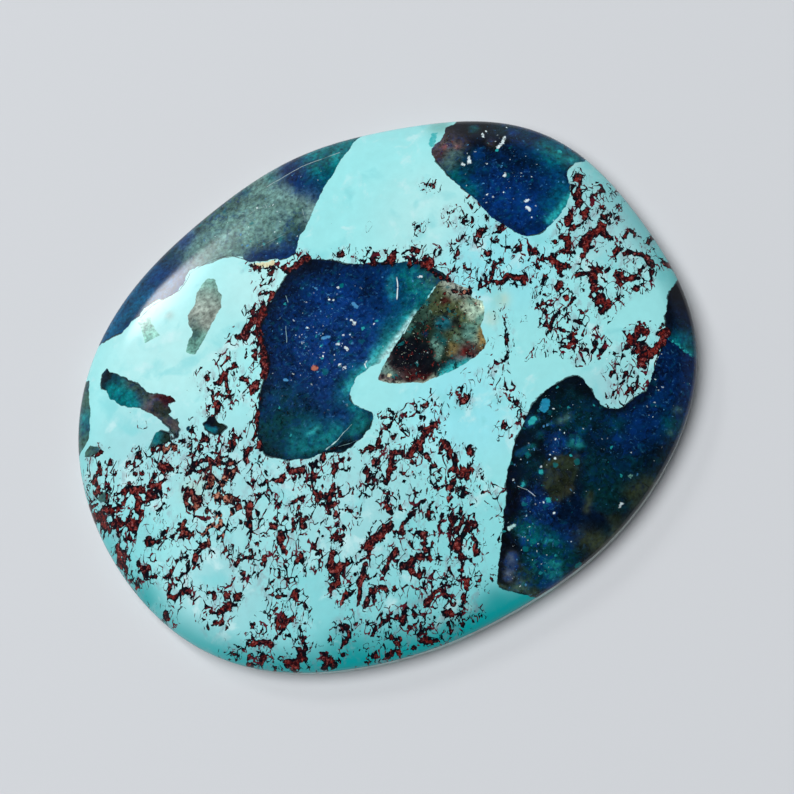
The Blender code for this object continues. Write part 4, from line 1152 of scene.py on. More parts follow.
def figureLace(u, v):
    laceReach = np.full(len(u), -farOff)
    for halfWidth, *numbers in laceStrokes:
        run = walked(numbers)
        close = closeBy(u, v, run)
        widened = halfWidth / 100 + figureRun["strokeSpread"]
        reach = widened - distanceToRun(u[close], v[close], run)
        laceReach[close] = np.maximum(laceReach[close], reach)
    return np.maximum(laceReach, -1.0)


def figureSpecks(u, v):
    speckReach = np.full(len(u), -1.0)
    wash = np.zeros((len(u), 4))
    for name, halfWidth, *numbers in specks:
        run = pairs(numbers)
        close = closeBy(u, v, run)
        reach = halfWidth - distanceToRun(u[close], v[close], run)
        nearer = reach > np.minimum(speckReach[close], 0.0)
        close, reach = close[nearer], reach[nearer]
        speckReach[close] = reach
        wash[close] = colours[name]
    return speckReach, wash


def figureHairlines(u, v):
    # for the nearest hairline, how far aside of it and how far along it a point is, with its
    # half width and cover
    hairNames = ("hairAside", "hairReach", "hairWidth", "hairCover")
    hair = {name: np.zeros(len(u)) for name in hairNames}
    wash = np.zeros((len(u), 4))
    nearest = np.full(len(u), farOff)
    for name, halfWidth, cover, *numbers in hairlines:
        run = pairs(numbers)
        for (ax, ay), (bx, by) in zip(run, run[1:]):
            length = math.hypot(bx - ax, by - ay)
            ux, uy = (bx - ax) / length, (by - ay) / length
            along = (u - ax) * ux + (v - ay) * uy
            aside = (v - ay) * ux - (u - ax) * uy
            reach = np.minimum(along, length - along)
            away = np.hypot(aside, np.minimum(reach, 0))
            nearer = away < nearest
            nearest[nearer] = away[nearer]
            wash[nearer] = colours[name]
            for key, value in zip(hair, (aside, reach, halfWidth, cover)):
                hair[key][nearer] = np.broadcast_to(value, len(u))[nearer]
    return hair, wash


def figureGatherings(u, v):
    values = {}
    for name, spots in gatherings.items():
        values[name] = np.zeros(len(u))
        for sx, sy, reach, most in spots:
            away = ((u - sx) ** 2 + (v - sy) ** 2) / reach**2
            near = most * np.exp(-figureRun["gatheringFade"] * away)
            values[name] = np.maximum(values[name], near)
    return values


def figureStone():
    # the figure as values at the points of the mesh; the material breaks them up further
    u, v, onFace, shade = placesInFigure()
    poolDepth, poolWash = figurePools(u, v)
    speckReach, speckWash = figureSpecks(u, v)
    hair, hairWash = figureHairlines(u, v)
    values = {
        "lapped": np.where(onFace, 0.0, 1.0),
        "shoulderPaintedShade": shade,
        "poolDepth": poolDepth,
        "windowDepth": depthInside(u, v, walked(quartz["edge"])),
        "laceReach": figureLace(u, v),
        "speckReach": speckReach,
        **hair,
        **figureGatherings(u, v),
    }
    washes = {
        "poolWash": poolWash,
        "groundWash": figureGround(u, v),
        "speckWash": speckWash,
        "hairWash": hairWash,
        "windowWash": washPatch(u, v, quartz),
    }
    layers = stone.data.attributes
    for name, value in values.items():
        layers.new(name, "FLOAT", "POINT").data.foreach_set("value", value.astype(np.float32))
    for name, wash in washes.items():
        layer = layers.new(name, "FLOAT_COLOR", "POINT")
        layer.data.foreach_set("color", wash.astype(np.float32).ravel())


figureStone()
print("stone figured")


# Node helpers. A socket is given either a number or another node's output

def addNode(tree, kind, sockets=None, **settings):
    made = tree.nodes.new("ShaderNode" + kind)
    for key, value in settings.items():
        setattr(made, key, value)
    for key, value in (sockets or {}).items():
        if isinstance(value, bpy.types.NodeSocket):
            tree.links.new(value, made.inputs[key])
        else:
            made.inputs[key].default_value = value
    return made


def maths(tree, operation, *values, clamp=False):
    sockets = dict(enumerate(values))
    return addNode(tree, "Math", sockets, operation=operation, use_clamp=clamp).outputs[0]


def times(tree, one, other, clamp=False):
    return maths(tree, "MULTIPLY", one, other, clamp=clamp)


def ramp(tree, value, low, high, bottom=0.0, top=1.0):
    sockets = {0: value, 1: low, 2: high, 3: bottom, 4: top}
    return addNode(tree, "MapRange", sockets, interpolation_type="SMOOTHSTEP").outputs[0]


def mixed(tree, share, under, over):
    return addNode(tree, "Mix", {0: share, 6: under, 7: over}, data_type="RGBA").outputs[2]


def noise(tree, place, scale, detail=2.0, roughness=0.5, distortion=0.0, output="Fac"):
    sockets = {"Vector": place, "Scale": scale, "Detail": detail,
               "Roughness": roughness, "Distortion": distortion}
    return addNode(tree, "TexNoise", sockets).outputs[output]


def vectors(tree, operation, *values, scale=None):
    sockets = dict(enumerate(values))
    if scale is not None:
        sockets["Scale"] = scale
    return addNode(tree, "VectorMath", sockets, operation=operation).outputs[0]


def wavered(tree, place, scale, reach, detail=2.0):
    # places pushed about by noise, by up to half the reach each way
    drift = noise(tree, place, scale, detail, output="Color")
    push = vectors(tree, "SUBTRACT", drift, (0.5,) * 3)
    return vectors(tree, "ADD", place, vectors(tree, "SCALE", push, scale=reach))


def layerValue(tree, name):
    return addNode(tree, "Attribute", attribute_name=name).outputs["Fac"]


def layerColour(tree, name):
    return addNode(tree, "Attribute", attribute_name=name).outputs["Color"]


def newGroup(name, inputs, outputs):
    group = bpy.data.node_groups.new(name, "ShaderNodeTree")
    for label, value in inputs.items():
        kind = "NodeSocketVector" if value is None else "NodeSocketFloat"
        socket = group.interface.new_socket(label, in_out="INPUT", socket_type=kind)
        if value is not None:
            socket.default_value = value
    for label in outputs:
        group.interface.new_socket(label, in_out="OUTPUT", socket_type="NodeSocketFloat")
    given = group.nodes.new("NodeGroupInput").outputs
    result = group.nodes.new("NodeGroupOutput").inputs
    return group, given, result


def useGroup(tree, group, **sockets):
    made = tree.nodes.new("ShaderNodeGroup")
    made.node_tree = group
    for key, value in sockets.items():
        label = key[0].upper() + key[1:]
        if isinstance(value, bpy.types.NodeSocket):
            tree.links.new(value, made.inputs[label])
        else:
            made.inputs[label].default_value = value
    return made.outputs


# What the groups are made of; scales are times the group's own

groupParts = {
    "cellWaver": (0.9, 1.5),               # scale and detail
    "cellWobble": (3.0, 0.3),              # scale and reach
    "speckleNoise": (2.5, 0.62, 0.5),      # detail, roughness, distortion
    "speckleStart": (-0.17, 0.76, 0.025),  # times the amount, added, softness
    "swellScale": 0.6,
    "frayScale": 1.9,
    "frayNoise": (2.0, 0.55, 0.4),
    "borderScale": 1.6,
    "borderFade": (0.35, 0.65, 0.3, 2.2),
    "rimSoftness": 0.03,
    "coreSoftness": 0.05,
    "glintSoftness": (0.02, 0.12),         # of the choice, and of each one's edge
    "leastGlint": 0.35,
    "cloudRoughness": 0.6,
    "cloudSwing": 4.0,
    "leastCloud": 0.05,
}


def makeCells():
    # rounded cells: Edge is how far in from a cell's border, and Shade and Choice tell one
    # cell from the next
    group, given, result = newGroup(
        "cells", {"Place": None, "Scale": 1.5, "Bend": 0.5}, ("Edge", "Shade", "Choice")
    )
    place, scale = given["Place"], given["Scale"]
    finer, detail = groupParts["cellWaver"]
    bent = wavered(group, place, times(group, scale, finer),
                   maths(group, "DIVIDE", given["Bend"], scale), detail)
    sockets = {"Vector": bent, "Scale": scale}
    border = addNode(group, "TexVoronoi", sockets, feature="DISTANCE_TO_EDGE")
    cells = addNode(group, "TexVoronoi", sockets)
    parts = addNode(group, "SeparateColor", {0: cells.outputs["Color"]}).outputs
    finer, reach = groupParts["cellWobble"]
    wobble = noise(group, bent, times(group, scale, finer), 1.0)
    wobble = maths(group, "MULTIPLY_ADD", wobble, reach, -reach / 2)
    away = maths(group, "DIVIDE", maths(group, "ADD", border.outputs["Distance"], wobble), scale)
    group.links.new(maths(group, "MAXIMUM", away, 0.0), result["Edge"])
    group.links.new(parts[0], result["Shade"])
    group.links.new(parts[1], result["Choice"])
    return group


def makeSpeckles():
    # small ragged dark spots, more of them the greater the amount
    group, given, result = newGroup(
        "speckles", {"Place": None, "Scale": 4.0, "Amount": 0.5}, ("Mask",)
    )
    value = noise(group, given["Place"], given["Scale"], *groupParts["speckleNoise"])
    fall, highest, softness = groupParts["speckleStart"]
    start = maths(group, "MULTIPLY_ADD", given["Amount"], fall, highest)
    mask = ramp(group, value, start, maths(group, "ADD", start, softness))
    group.links.new(mask, result["Mask"])
    return group


def makeRagged():
    # a reach with a ragged outline: Core is its filling, Rim takes in a dark border, and
    # Depth is how far in from the border
    group, given, result = newGroup(
        "ragged",
        {"Place": None, "Reach": 0.0, "Scale": 2.2, "Swell": 0.5, "Fraying": 0.3, "Border": 0.08},
        ("Core", "Rim", "Depth"),
    )
    place, scale, parts = given["Place"], given["Scale"], groupParts
    slow = noise(group, place, times(group, scale, parts["swellScale"]), 1.0)
    fine = noise(group, place, times(group, scale, parts["frayScale"]), *parts["frayNoise"])
    swell = times(group, maths(group, "SUBTRACT", slow, 0.5), given["Swell"])
    fray = times(group, maths(group, "SUBTRACT", fine, 0.5), given["Fraying"])
    reach = maths(group, "ADD", given["Reach"], maths(group, "ADD", swell, fray))
    group.links.new(ramp(group, reach, 0.0, parts["rimSoftness"]), result["Rim"])
    thin = noise(group, place, times(group, scale, parts["borderScale"]), 1.0)
    border = times(group, given["Border"], ramp(group, thin, *parts["borderFade"]))
    inner = maths(group, "SUBTRACT", reach, border)
    group.links.new(ramp(group, inner, 0.0, parts["coreSoftness"]), result["Core"])
    group.links.new(inner, result["Depth"])
    return group


def makeGlints():
    # small crystals scattered about: Mask is where they are, Shade tells one from the next
    group, given, result = newGroup(
        "glints", {"Place": None, "Scale": 1.0, "Share": 0.3, "Size": 0.3}, ("Mask", "Shade"),
    )
    cells = addNode(group, "TexVoronoi", {"Vector": given["Place"], "Scale": given["Scale"]})
    parts = addNode(group, "SeparateColor", {0: cells.outputs["Color"]}).outputs
    softChoice, softEdge = groupParts["glintSoftness"]
    chosen = ramp(group, maths(group, "SUBTRACT", given["Share"], parts[0]), 0.0, softChoice)
    size = ramp(group, parts[1], 0.0, 1.0, groupParts["leastGlint"], 1.0)
    size = times(group, given["Size"], size)
    near = maths(group, "SUBTRACT", size, cells.outputs["Distance"])
    near = ramp(group, near, 0.0, softEdge)
    group.links.new(times(group, chosen, near), result["Mask"])
    group.links.new(parts[2], result["Shade"])
    return group


def makeClouds():
    # a slow rise and fall about 1, by Depth each way
    group, given, result = newGroup(
        "clouds", {"Place": None, "Scale": 0.3, "Depth": 0.1, "Detail": 3.0}, ("Factor",)
    )
    roughness, least = groupParts["cloudRoughness"], groupParts["leastCloud"]
    value = noise(group, given["Place"], given["Scale"], given["Detail"], roughness)
    swing = times(group, maths(group, "SUBTRACT", value, 0.5), groupParts["cloudSwing"])
    swing = maths(group, "MULTIPLY_ADD", swing, given["Depth"], 1.0)
    group.links.new(maths(group, "MAXIMUM", swing, least), result["Factor"])
    return group


def clouded(tree, clouds, place, colour, layers):
    # a colour that clouds lighten and darken, each as (scale, depth, detail)
    for scale, depth, detail in layers:
        factor = useGroup(tree, clouds, place=place, scale=scale, depth=depth, detail=detail)
        colour = vectors(tree, "SCALE", colour, scale=factor["Factor"])
    return colour


# Scales are cells or waves to the millimetre. Noise is given as scale, detail, roughness and
# distortion, as many as are set, and a fade as where it starts and ends, then its values there
# unless they are 0 and 1

groundFinish = {
    "clouds": ((0.22, 0.05, 3.0), (1.5, 0.035, 4.0)),
    "veils": (  # colour, scale and reach of its waver, scale, detail, roughness, share
        ("paleAqua", 0.3, 2.5, 0.5, 5.0, 0.6, 0.55),
        ("deepAqua", 0.4, 2.0, 0.45, 4.0, 0.5, 0.6),
    ),
    "veilFade": (0.54, 0.72),
}


def makeGround(tree, place, clouds):
    finish = groundFinish
    wash = layerColour(tree, "groundWash")
    colour = clouded(tree, clouds, place, wash, finish["clouds"])
    for name, slow, reach, scale, detail, roughness, most in finish["veils"]:
        veil = noise(tree, wavered(tree, place, slow, reach), scale, detail, roughness)
        share = times(tree, ramp(tree, veil, *finish["veilFade"]), most)
        colour = mixed(tree, share, colour, colours[name])
    # painted shade: the shoulder is darkened to teal, most on the near side
    return mixed(tree, layerValue(tree, "shoulderPaintedShade"), colour, colours["paintedShadeTeal"])


netFinish = {
    "nearFade": (-0.85, -0.05),    # millimetres from the strokes where the lace sets in
    "nearShare": 0.25,
    "patchScale": 0.7,
    "patchStart": (-0.34, 0.68),   # times the amount, and added
    "patchFade": 0.2,
    "vein": (1.2, 2.0, 0.55, 1.2),  # scale, detail, roughness, distortion
    "veinWidth": 0.18,
    "veinLift": 0.3,
    "bareFade": (0.0, 0.15, -0.6, 0.0),
    "threadFade": (-0.5, 0.0),     # reach of the net over which threads set in
}


def makeNet(tree, grained, amount):
    # reach of a net of veins, in patches that spread with the amount
    finish = netFinish
    patch = noise(tree, grained, finish["patchScale"])
    start = maths(tree, "MULTIPLY_ADD", amount, *finish["patchStart"])
    presence = ramp(tree, patch, start, maths(tree, "ADD", start, finish["patchFade"]))
    vein = noise(tree, grained, *finish["vein"])
    away = maths(tree, "ABSOLUTE", maths(tree, "SUBTRACT", vein, 0.5))
    net = maths(tree, "MULTIPLY_ADD", away, -2.0, finish["veinWidth"])
    lift = finish["veinLift"]
    reach = maths(tree, "MULTIPLY_ADD", presence, lift, maths(tree, "SUBTRACT", net, lift))
    return maths(tree, "ADD", reach, ramp(tree, amount, *finish["bareFade"]))


laceFinish = {
    "grain": 55.0,         # degrees from +X; the lace runs a little this way
    "grainStretch": 0.62,
    "raggedScale": 2.4,
    "swell": 0.2,
    "fraying": 0.25,
    "border": 0.08,
    "bend": 0.9,
    "overPools": (-0.35, -0.2),
    "cells": (  # scale, how far they push the lace, half a line's width, share drawn
        (1.25, 0.24, 0.055, 0.5), (2.5, 0.32, 0.045, 0.42),
    ),
}


def makeLace(tree, place, ragged, cells):
    # the lace's strokes and net, frayed, and the cells that thread lines run between
    finish = laceFinish
    turned = addNode(
        tree, "VectorRotate", {"Vector": place, "Angle": math.radians(-finish["grain"])},
        rotation_type="Z_AXIS",
    ).outputs[0]
    grained = vectors(tree, "MULTIPLY", turned, (finish["grainStretch"], 1.0, 1.0))
    laceReach = layerValue(tree, "laceReach")
    nearLace = ramp(tree, laceReach, *netFinish["nearFade"])
    amount = maths(tree, "MAXIMUM", layerValue(tree, "netAmount"),
                   times(tree, nearLace, netFinish["nearShare"]))
    netReach = makeNet(tree, grained, amount)
    reach = maths(tree, "MAXIMUM", laceReach, netReach)
    webs = []
    for scale, pull, width, share in finish["cells"]:
        web = useGroup(tree, cells, place=grained, scale=scale, bend=finish["bend"])
        offset = times(tree, maths(tree, "SUBTRACT", web["Shade"], 0.5), pull)
        reach = maths(tree, "ADD", reach, offset)
        webs.append((web, width, share))
    lace = useGroup(tree, ragged, place=grained, reach=reach, scale=finish["raggedScale"],
                    swell=finish["swell"], fraying=finish["fraying"], border=finish["border"])
    nearNet = times(tree, ramp(tree, netReach, *netFinish["threadFade"]), amount)
    return grained, laceReach, lace, webs, {"lace": nearLace, "net": nearNet}


threadFinish = {
    "awayFade": (-0.85, -0.3, 0.15, 1.0),
    "nearShare": 0.8,
    "swellScale": 2.2,
    "swellFade": (0.36, 0.64, 0.35, 1.5),
    "softness": (0.02, 0.02),  # of the choice of a cell, and of its line
    "speckleScale": 3.4,
    "speckleShare": 0.85,
    "veilNoise": (1.8, 4.0, 0.65),
    "veilFade": (0.5, 0.66),
    "veil": 0.5,
    "inkNoise": (1.6, 3.0),
    "inkFade": (0.46, 0.58),
}


def makeThreads(tree, grained, laceReach, webs, near, speckles):
    # thin lines, and where a mauve veil lies about them
    finish = threadFinish
    amount = times(tree, layerValue(tree, "threadAmount"),
                   ramp(tree, laceReach, *finish["awayFade"]))
    nearShare = times(tree, near["lace"], finish["nearShare"])
    amount = maths(tree, "MAXIMUM", amount, maths(tree, "MAXIMUM", nearShare, near["net"]))
    swell = ramp(tree, noise(tree, grained, finish["swellScale"], 1.0), *finish["swellFade"])
    softChoice, softLine = finish["softness"]
    lines = 0.0
    for web, width, share in webs:
        # a cell that is chosen has its whole border drawn
        chosen = maths(tree, "MULTIPLY_ADD", amount, share, times(tree, web["Choice"], -1.0))
        width = times(tree, swell, times(tree, ramp(tree, chosen, 0.0, softChoice), width))
        drawn = ramp(tree, maths(tree, "SUBTRACT", width, web["Edge"]), 0.0, softLine)
        lines = maths(tree, "MAXIMUM", drawn, lines)
    drawn = useGroup(tree, speckles, place=grained, scale=finish["speckleScale"],
                     amount=times(tree, amount, finish["speckleShare"]))["Mask"]
    lines = maths(tree, "MAXIMUM", drawn, lines)
    veil = ramp(tree, noise(tree, grained, *finish["veilNoise"]), *finish["veilFade"])
    return lines, times(tree, times(tree, veil, amount), finish["veil"])


def makeInk(tree, place):
    shade = noise(tree, place, *threadFinish["inkNoise"])
    share = ramp(tree, shade, *threadFinish["inkFade"])
    return mixed(tree, share, colours["nearBlack"], colours["wineInk"])


fillingFinish = {
    "slow": (2.4, 3.0),            # scale and detail of noise
    "slowFade": (0.42, 0.62),
    "blushFades": ((0.4, 0.5), (0.44, 0.56)),
    "fine": (5.0, 3.0, 0.65, 0.8),
    "pinkFade": (0.54, 0.64),
    "pink": 0.75,
    "darkFade": (0.48, 0.4),
    "edgeFade": (0.14, 0.0, 0.0, 0.7),
    "dark": 0.95,
}


def makeFilling(tree, place, depth):
    # red-brown inside the lace, darker at its border
    finish = fillingFinish
    slow = noise(tree, place, *finish["slow"])
    red = mixed(tree, ramp(tree, slow, *finish["slowFade"]), colours["maroon"],
                colours["redBrown"])
    slowBlush, fineBlush = finish["blushFades"]
    blush = times(tree, layerValue(tree, "salmonAmount"), ramp(tree, slow, *slowBlush))
    fine = noise(tree, place, *finish["fine"])
    share = times(tree, ramp(tree, fine, *finish["pinkFade"]), finish["pink"])
    red = mixed(tree, share, red, colours["pink"])
    dark = maths(tree, "MAXIMUM", ramp(tree, fine, *finish["darkFade"]),
                 ramp(tree, depth, *finish["edgeFade"]))
    red = mixed(tree, times(tree, dark, finish["dark"]), red, colours["nearBlack"])
    blush = times(tree, blush, ramp(tree, fine, *fineBlush))
    return mixed(tree, blush, red, colours["salmon"])


poolFinish = {
    "edge": (2.2, 4.0, 0.6),
    "edgeReach": 0.3,
    "edgeFade": (-0.02, 0.03),
    "clouds": ((0.8, 0.55, 4.0), (3.4, 0.75, 3.0)),
    "blueFades": ((0.28, 0.14), (0.005, 0.045, 0.1, 1.0)),  # of the wash's green and its blue
    "patches": (  # scale, colour, where the noise begins to show it, share
        (0.8, "midBlue", 0.5, 0.75), (1.7, "teal", 0.55, 0.5), (2.6, "royal", 0.5, 0.85),
        (1.3, "deepNavy", 0.51, 0.85), (5.0, "skyGlint", 0.58, 0.6),
    ),
    "patchNoise": (3.5, 0.62),
    "patchFade": 0.14,
    "patchApart": 7.0,
    "patchWaver": (1.2, 0.9),       # scale and reach
    "glintWaver": (4.0, 0.3, 1.0),  # and detail
    "sparkleShare": 0.7,   # of a patch, where the crystals gather; the rest is everywhere
    "glints": (  # scale, colour, share of the cells, size
        (1.5, "tealGreen", 0.3, 0.45), (2.6, "glowTeal", 0.12, 0.4),
        (3.6, "skyGlint", 0.24, 0.35), (5.5, "frost", 0.12, 0.4),
    ),
    "glintShades": (0.7, 0.15),
    "rimScale": 0.8,
    "rimFades": ((0.42, 0.6), (0.12, 0.05)),
    "rimWidth": 0.09,
    "rimSoftness": 0.03,
    "rimShare": 0.85,
}


def makePools(tree, place, clouds, glints):
    # the blue pools: their colour, how far in from their ragged edge, and their green
    finish = poolFinish
    edge = noise(tree, place, *finish["edge"])
    push = times(tree, maths(tree, "SUBTRACT", edge, 0.5), finish["edgeReach"])
    depth = maths(tree, "ADD", layerValue(tree, "poolDepth"), push)
    pool = clouded(tree, clouds, place, layerColour(tree, "poolWash"), finish["clouds"])
    sparkle = layerValue(tree, "sparkleAmount")
    drift = wavered(tree, place, *finish["patchWaver"])
    shaken = wavered(tree, place, *finish["glintWaver"])
    parts = addNode(tree, "SeparateColor", {0: layerColour(tree, "poolWash")}).outputs
    greenFade, blueFade = finish["blueFades"]
    plainBlue = times(tree, ramp(tree, parts[1], *greenFade), ramp(tree, parts[2], *blueFade))
    extra = finish["sparkleShare"]
    for scale, name, low, shown in finish["patches"]:
        moved = vectors(tree, "ADD", drift, (scale * finish["patchApart"], 0, 0))
        patch = noise(tree, moved, scale, *finish["patchNoise"])
        share = times(tree, ramp(tree, patch, low, low + finish["patchFade"]), plainBlue)
        amount = maths(tree, "MULTIPLY_ADD", sparkle, extra * shown, (1 - extra) * shown)
        pool = mixed(tree, times(tree, share, amount), pool, colours[name])
    for scale, name, most, size in finish["glints"]:
        grains = useGroup(tree, glints, place=shaken, scale=scale, size=size,
                          share=times(tree, sparkle, most))
        shade = maths(tree, "MULTIPLY_ADD", grains["Shade"], *finish["glintShades"])
        pool = mixed(tree, times(tree, grains["Mask"], shade), pool, colours[name])
    return pool, depth, push, parts[1]


def rimPools(tree, place, colour, depth, green):
    # a dark line round the pools, broken, and none where they glow
    finish = poolFinish
    line = maths(tree, "ABSOLUTE", depth)
    broken = noise(tree, place, finish["rimScale"])
    brokenFade, greenFade = finish["rimFades"]
    width = times(tree, ramp(tree, broken, *brokenFade), ramp(tree, green, *greenFade))
    width = times(tree, width, finish["rimWidth"])
    onLine = ramp(tree, maths(tree, "SUBTRACT", width, line), 0.0, finish["rimSoftness"])
    return mixed(tree, times(tree, onLine, finish["rimShare"]), colour, colours["nearBlack"])


windowFinish = {
    "clouds": ((1.2, 0.5, 3.0), (3.4, 0.8, 3.0)),
    "grit": (  # scale, colour, amount, how far it covers
        (1.3, "nearBlack", 1.0, 0.8), (1.6, "tealGreen", 0.75, 0.6), (2.4, "leafGreen", 0.6, 0.5),
        (3.4, "nearBlack", 1.0, 0.85), (3.8, "redBrown", 0.7, 0.8), (5.0, "cream", 0.5, 0.7),
    ),
    "gritApart": 9.0,
    "gritInWindow": 0.95,
}


def makeWindow(tree, place, clouds, push):
    depth = maths(tree, "ADD", layerValue(tree, "windowDepth"), push)
    wash = layerColour(tree, "windowWash")
    return clouded(tree, clouds, place, wash, windowFinish["clouds"]), depth


def gritOver(tree, place, colour, inside, inWindow, speckles):
    # grit in the window, and in the pools' crowded edges
    grit = times(tree, layerValue(tree, "gritAmount"), inside)
    grit = maths(tree, "MAXIMUM", grit, times(tree, inWindow, windowFinish["gritInWindow"]))
    for scale, name, most, shown in windowFinish["grit"]:
        moved = vectors(tree, "ADD", place, (0, 0, scale * windowFinish["gritApart"]))
        drawn = useGroup(tree, speckles, place=moved, scale=scale,
                         amount=times(tree, grit, most))["Mask"]
        drawn = times(tree, times(tree, drawn, shown), grit, clamp=True)
        colour = mixed(tree, drawn, colour, colours[name])
    return colour


speckFinish = {
    "fine": (4.0, 3.0, 0.65),
    "fray": 0.4,
    "shine": (0.9, 0.35),
    "edgeFade": (-0.05, 0.03),
    "hairScale": 1.1,
    "hairBend": 0.16,
    "hairFade": (0.0, 0.02),
    "endFade": (0.0, 0.08),
    "breaks": (1.4, 3.0),
    "breakFade": (0.36, 0.52, 0.25, 1.0),
}


def specksOver(tree, place, colour):
    # single crystals and chips
    finish = speckFinish
    fine = noise(tree, place, *finish["fine"])
    reach = maths(tree, "MULTIPLY_ADD", maths(tree, "SUBTRACT", fine, 0.5), finish["fray"],
                  layerValue(tree, "speckReach"))
    shine = maths(tree, "MULTIPLY_ADD", fine, *finish["shine"])
    share = times(tree, ramp(tree, reach, *finish["edgeFade"]), shine, clamp=True)
    return mixed(tree, share, colour, layerColour(tree, "speckWash"))


def hairlinesOver(tree, place, colour):
    # straight lines, a little bent and broken
    finish = speckFinish
    bend = finish["hairBend"]
    aside = maths(tree, "MULTIPLY_ADD", noise(tree, place, finish["hairScale"]), bend,
                  maths(tree, "SUBTRACT", layerValue(tree, "hairAside"), bend / 2))
    width = maths(tree, "SUBTRACT", layerValue(tree, "hairWidth"), maths(tree, "ABSOLUTE", aside))
    drawn = times(tree, ramp(tree, width, *finish["hairFade"]),
                  ramp(tree, layerValue(tree, "hairReach"), *finish["endFade"]))
    broken = ramp(tree, noise(tree, place, *finish["breaks"]), *finish["breakFade"])
    share = times(tree, times(tree, drawn, broken), layerValue(tree, "hairCover"))
    return mixed(tree, share, colour, layerColour(tree, "hairWash"))


# The finish of the surface, on the polished face and on the lapped edge and back

polish = {
    "roughness": 0.12,
    "lappedRougher": 0.3,
    "lappedPalerAndReflection": 0.6,
    "grain": 0.08,
    "grainNoise": (5.0, 3.0),
    "waveNoise": (0.9, 3.0),
    "waveStrength": 0.12,
    "waveDepth": 0.02,
    "ior": 1.5,
}


def finishSurface(tree, shader, place, lapped):
    roughness = maths(tree, "MULTIPLY_ADD", lapped, polish["lappedRougher"], polish["roughness"])
    grainy = noise(tree, place, *polish["grainNoise"])
    roughness = maths(tree, "MULTIPLY_ADD", grainy, polish["grain"], roughness)
    tree.links.new(roughness, shader.inputs["Roughness"])
    height = noise(tree, place, *polish["waveNoise"])
    bump = addNode(tree, "Bump", {"Height": height, "Strength": polish["waveStrength"],
                                  "Distance": polish["waveDepth"] * mm})
    tree.links.new(bump.outputs["Normal"], shader.inputs["Normal"])
    shader.inputs["IOR"].default_value = polish["ior"]


def makeMaterial():
    material = bpy.data.materials.new("polishedShattuckite")
    material.use_nodes = True
    tree = material.node_tree
    shader = tree.nodes["Principled BSDF"]
    cells, ragged, speckles = makeCells(), makeRagged(), makeSpeckles()
    glints, clouds = makeGlints(), makeClouds()
    place = vectors(tree, "SCALE", addNode(tree, "TexCoord").outputs["Object"], scale=1 / mm)

    ground = makeGround(tree, place, clouds)
    grained, laceReach, lace, webs, near = makeLace(tree, place, ragged, cells)
    lines, veil = makeThreads(tree, grained, laceReach, webs, near, speckles)
    ground = mixed(tree, veil, ground, colours["mauve"])
    filling = makeFilling(tree, place, lace["Depth"])
    pool, poolDepth, push, green = makePools(tree, place, clouds, glints)
    inPool = ramp(tree, poolDepth, *poolFinish["edgeFade"])
    window, windowDepth = makeWindow(tree, place, clouds, push)
    inWindow = ramp(tree, windowDepth, *poolFinish["edgeFade"])
    inside = maths(tree, "MAXIMUM", inPool, inWindow)
    outside = maths(tree, "SUBTRACT", 1.0, inside)

    ground = mixed(tree, lines, ground, makeInk(tree, place))
    colour = mixed(tree, inPool, ground, pool)
    colour = mixed(tree, inWindow, colour, window)
    colour = gritOver(tree, place, colour, inside, inWindow, speckles)
    colour = rimPools(tree, place, colour, poolDepth, green)
    colour = specksOver(tree, place, colour)
    colour = hairlinesOver(tree, place, colour)

    # the lace lies over all, but in the pools only its drawn strokes
    strokesOnly = ramp(tree, laceReach, *laceFinish["overPools"])
    shown = maths(tree, "MAXIMUM", outside, strokesOnly)
    colour = mixed(tree, times(tree, lace["Rim"], shown), colour, colours["nearBlack"])
    colour = mixed(tree, times(tree, lace["Core"], shown), colour, filling)

    # ground edge and back: paler, as stone is before it is polished; on the girdle wall this is
    # also a painted reflection of the pale surroundings
    lapped = layerValue(tree, "lapped")
    colour = mixed(tree, times(tree, lapped, polish["lappedPalerAndReflection"]), colour, colours["edgePaleAndReflection"])
    tree.links.new(colour, shader.inputs["Base Color"])
    finishSurface(tree, shader, place, lapped)
    return material


stone.data.materials.append(makeMaterial())
print("stone polished")


# Floor, light and camera

studio = {
    "floorColour": linear(201, 204, 208),
    "floorSide": 3000.0,
    "floorRoughness": 0.9,
    "overhead": linear(40, 42, 46),   # what the crown mirrors stays dim
    "aroundPale": linear(244, 246, 250),
    "aroundStrength": 0.36,
    "aroundTop": (0.62, 0.3),         # height on the sky where it sets in, and is full
    "aroundTowards": 105.0,           # degrees from +X; brightest that way
    "aroundFade": (-0.6, 0.8, 0.5, 1.0),  # half as bright on the far side of that
    "boxes": (  # name, watts, width, height, tilt from straight up, towards, distance, mirrored
        ("windowLight", 0.6, 135.0, 150.0, 54.0, 107.0, 700.0, True),
        ("windowGlow", 0.24, 165.0, 185.0, 53.5, 105.0, 720.0, True),
        ("overheadCloth", 9.3, 800.0, 800.0, 14.0, 150.0, 900.0, False),
    ),
}

view = {
    "target": (0.0, 0.0, 2.5),
    "elevation": 72.0,     # degrees above the floor
    "roll": 29.5,          # degrees; the stone's length climbs to the right by this
    "distance": 180.0,
    "frameWidth": 55.58,   # what the picture takes in across the target
    "sensor": 36.0,
    "picture": 794,        # pixels across, and how many the view is moved right and up
    "shift": (21.1, -10.8),
    "clip": (0.01, 10.0),  # metres
}


def direction(tilt, towards):
    tilt, towards = math.radians(tilt), math.radians(towards)
    flat = math.sin(tilt)
    return Vector((flat * math.cos(towards), flat * math.sin(towards), math.cos(tilt)))


def addSoftbox(name, power, width, height, tilt, towards, distance, mirrored):
    lamp = bpy.data.lights.new(name, "AREA")
    lamp.shape = "ELLIPSE"
    lamp.size, lamp.size_y = width * mm, height * mm
    lamp.energy = power
    holder = bpy.data.objects.new(name, lamp)
    way = direction(tilt, towards)
    holder.location = way * distance * mm
    holder.rotation_euler = (-way).to_track_quat("-Z", "Y").to_euler()
    holder.visible_glossy = mirrored  # the cloth's mirror image would grey the dark pools
    scene.collection.objects.link(holder)


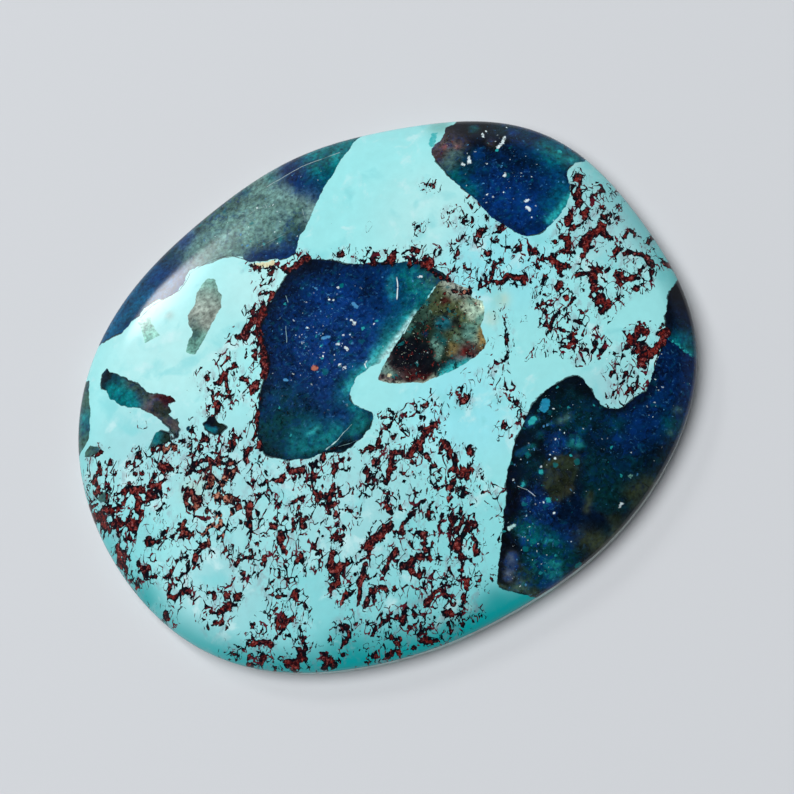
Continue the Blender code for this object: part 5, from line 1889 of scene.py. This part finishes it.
def makeFloor():
    half = studio["floorSide"] * mm / 2
    mesh = bpy.data.meshes.new("floor")
    corners = [(-half, -half, 0), (half, -half, 0), (half, half, 0), (-half, half, 0)]
    mesh.from_pydata(corners, [], [(0, 1, 2, 3)])
    paper = bpy.data.materials.new("paleFloor")
    paper.use_nodes = True
    shader = paper.node_tree.nodes["Principled BSDF"]
    shader.inputs["Base Color"].default_value = studio["floorColour"]
    shader.inputs["Roughness"].default_value = studio["floorRoughness"]
    mesh.materials.append(paper)
    floor = bpy.data.objects.new("floor", mesh)
    scene.collection.objects.link(floor)


def makeRoom():
    world = bpy.data.worlds.new("softRoom")
    world.use_nodes = True
    tree = world.node_tree
    sky = addNode(tree, "TexCoord").outputs["Generated"]
    height = addNode(tree, "SeparateXYZ", {0: sky}).outputs[2]
    around = ramp(tree, height, *studio["aroundTop"])
    towards = math.radians(studio["aroundTowards"])
    facing = addNode(
        tree, "VectorMath", {0: sky, 1: (math.cos(towards), math.sin(towards), 0)},
        operation="DOT_PRODUCT",
    ).outputs["Value"]
    around = times(tree, around, ramp(tree, facing, *studio["aroundFade"]))
    pale = [part * studio["aroundStrength"] for part in studio["aroundPale"][:3]] + [1.0]
    light = mixed(tree, around, studio["overhead"], pale)
    tree.links.new(light, tree.nodes["Background"].inputs["Color"])
    scene.world = world
    for box in studio["boxes"]:
        addSoftbox(*box)


def makeCamera():
    rise = math.radians(view["elevation"])
    ahead = Vector((0, math.cos(rise), -math.sin(rise)))
    place = (Vector(view["target"]) - ahead * view["distance"]) * mm
    # with no roll the picture's right is +X; turning the camera clockwise about its view
    # makes the stone climb to the right
    turn = Matrix.Rotation(math.radians(view["roll"]), 3, ahead)
    right = turn @ Vector((1, 0, 0))
    up = right.cross(ahead)
    rotation = Matrix((right, up, -ahead)).transposed()
    lens = bpy.data.cameras.new("camera")
    lens.sensor_width = view["sensor"]
    lens.lens = view["sensor"] * view["distance"] / view["frameWidth"]
    lens.shift_x, lens.shift_y = (shift / view["picture"] for shift in view["shift"])
    lens.clip_start, lens.clip_end = view["clip"]
    camera = bpy.data.objects.new("camera", lens)
    camera.matrix_world = Matrix.Translation(place) @ rotation.to_4x4()
    scene.collection.objects.link(camera)
    scene.camera = camera


makeFloor()
makeRoom()
makeCamera()
scene.view_settings.view_transform = "Standard"
print("studio ready")

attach(stone, "root")
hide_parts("stone")
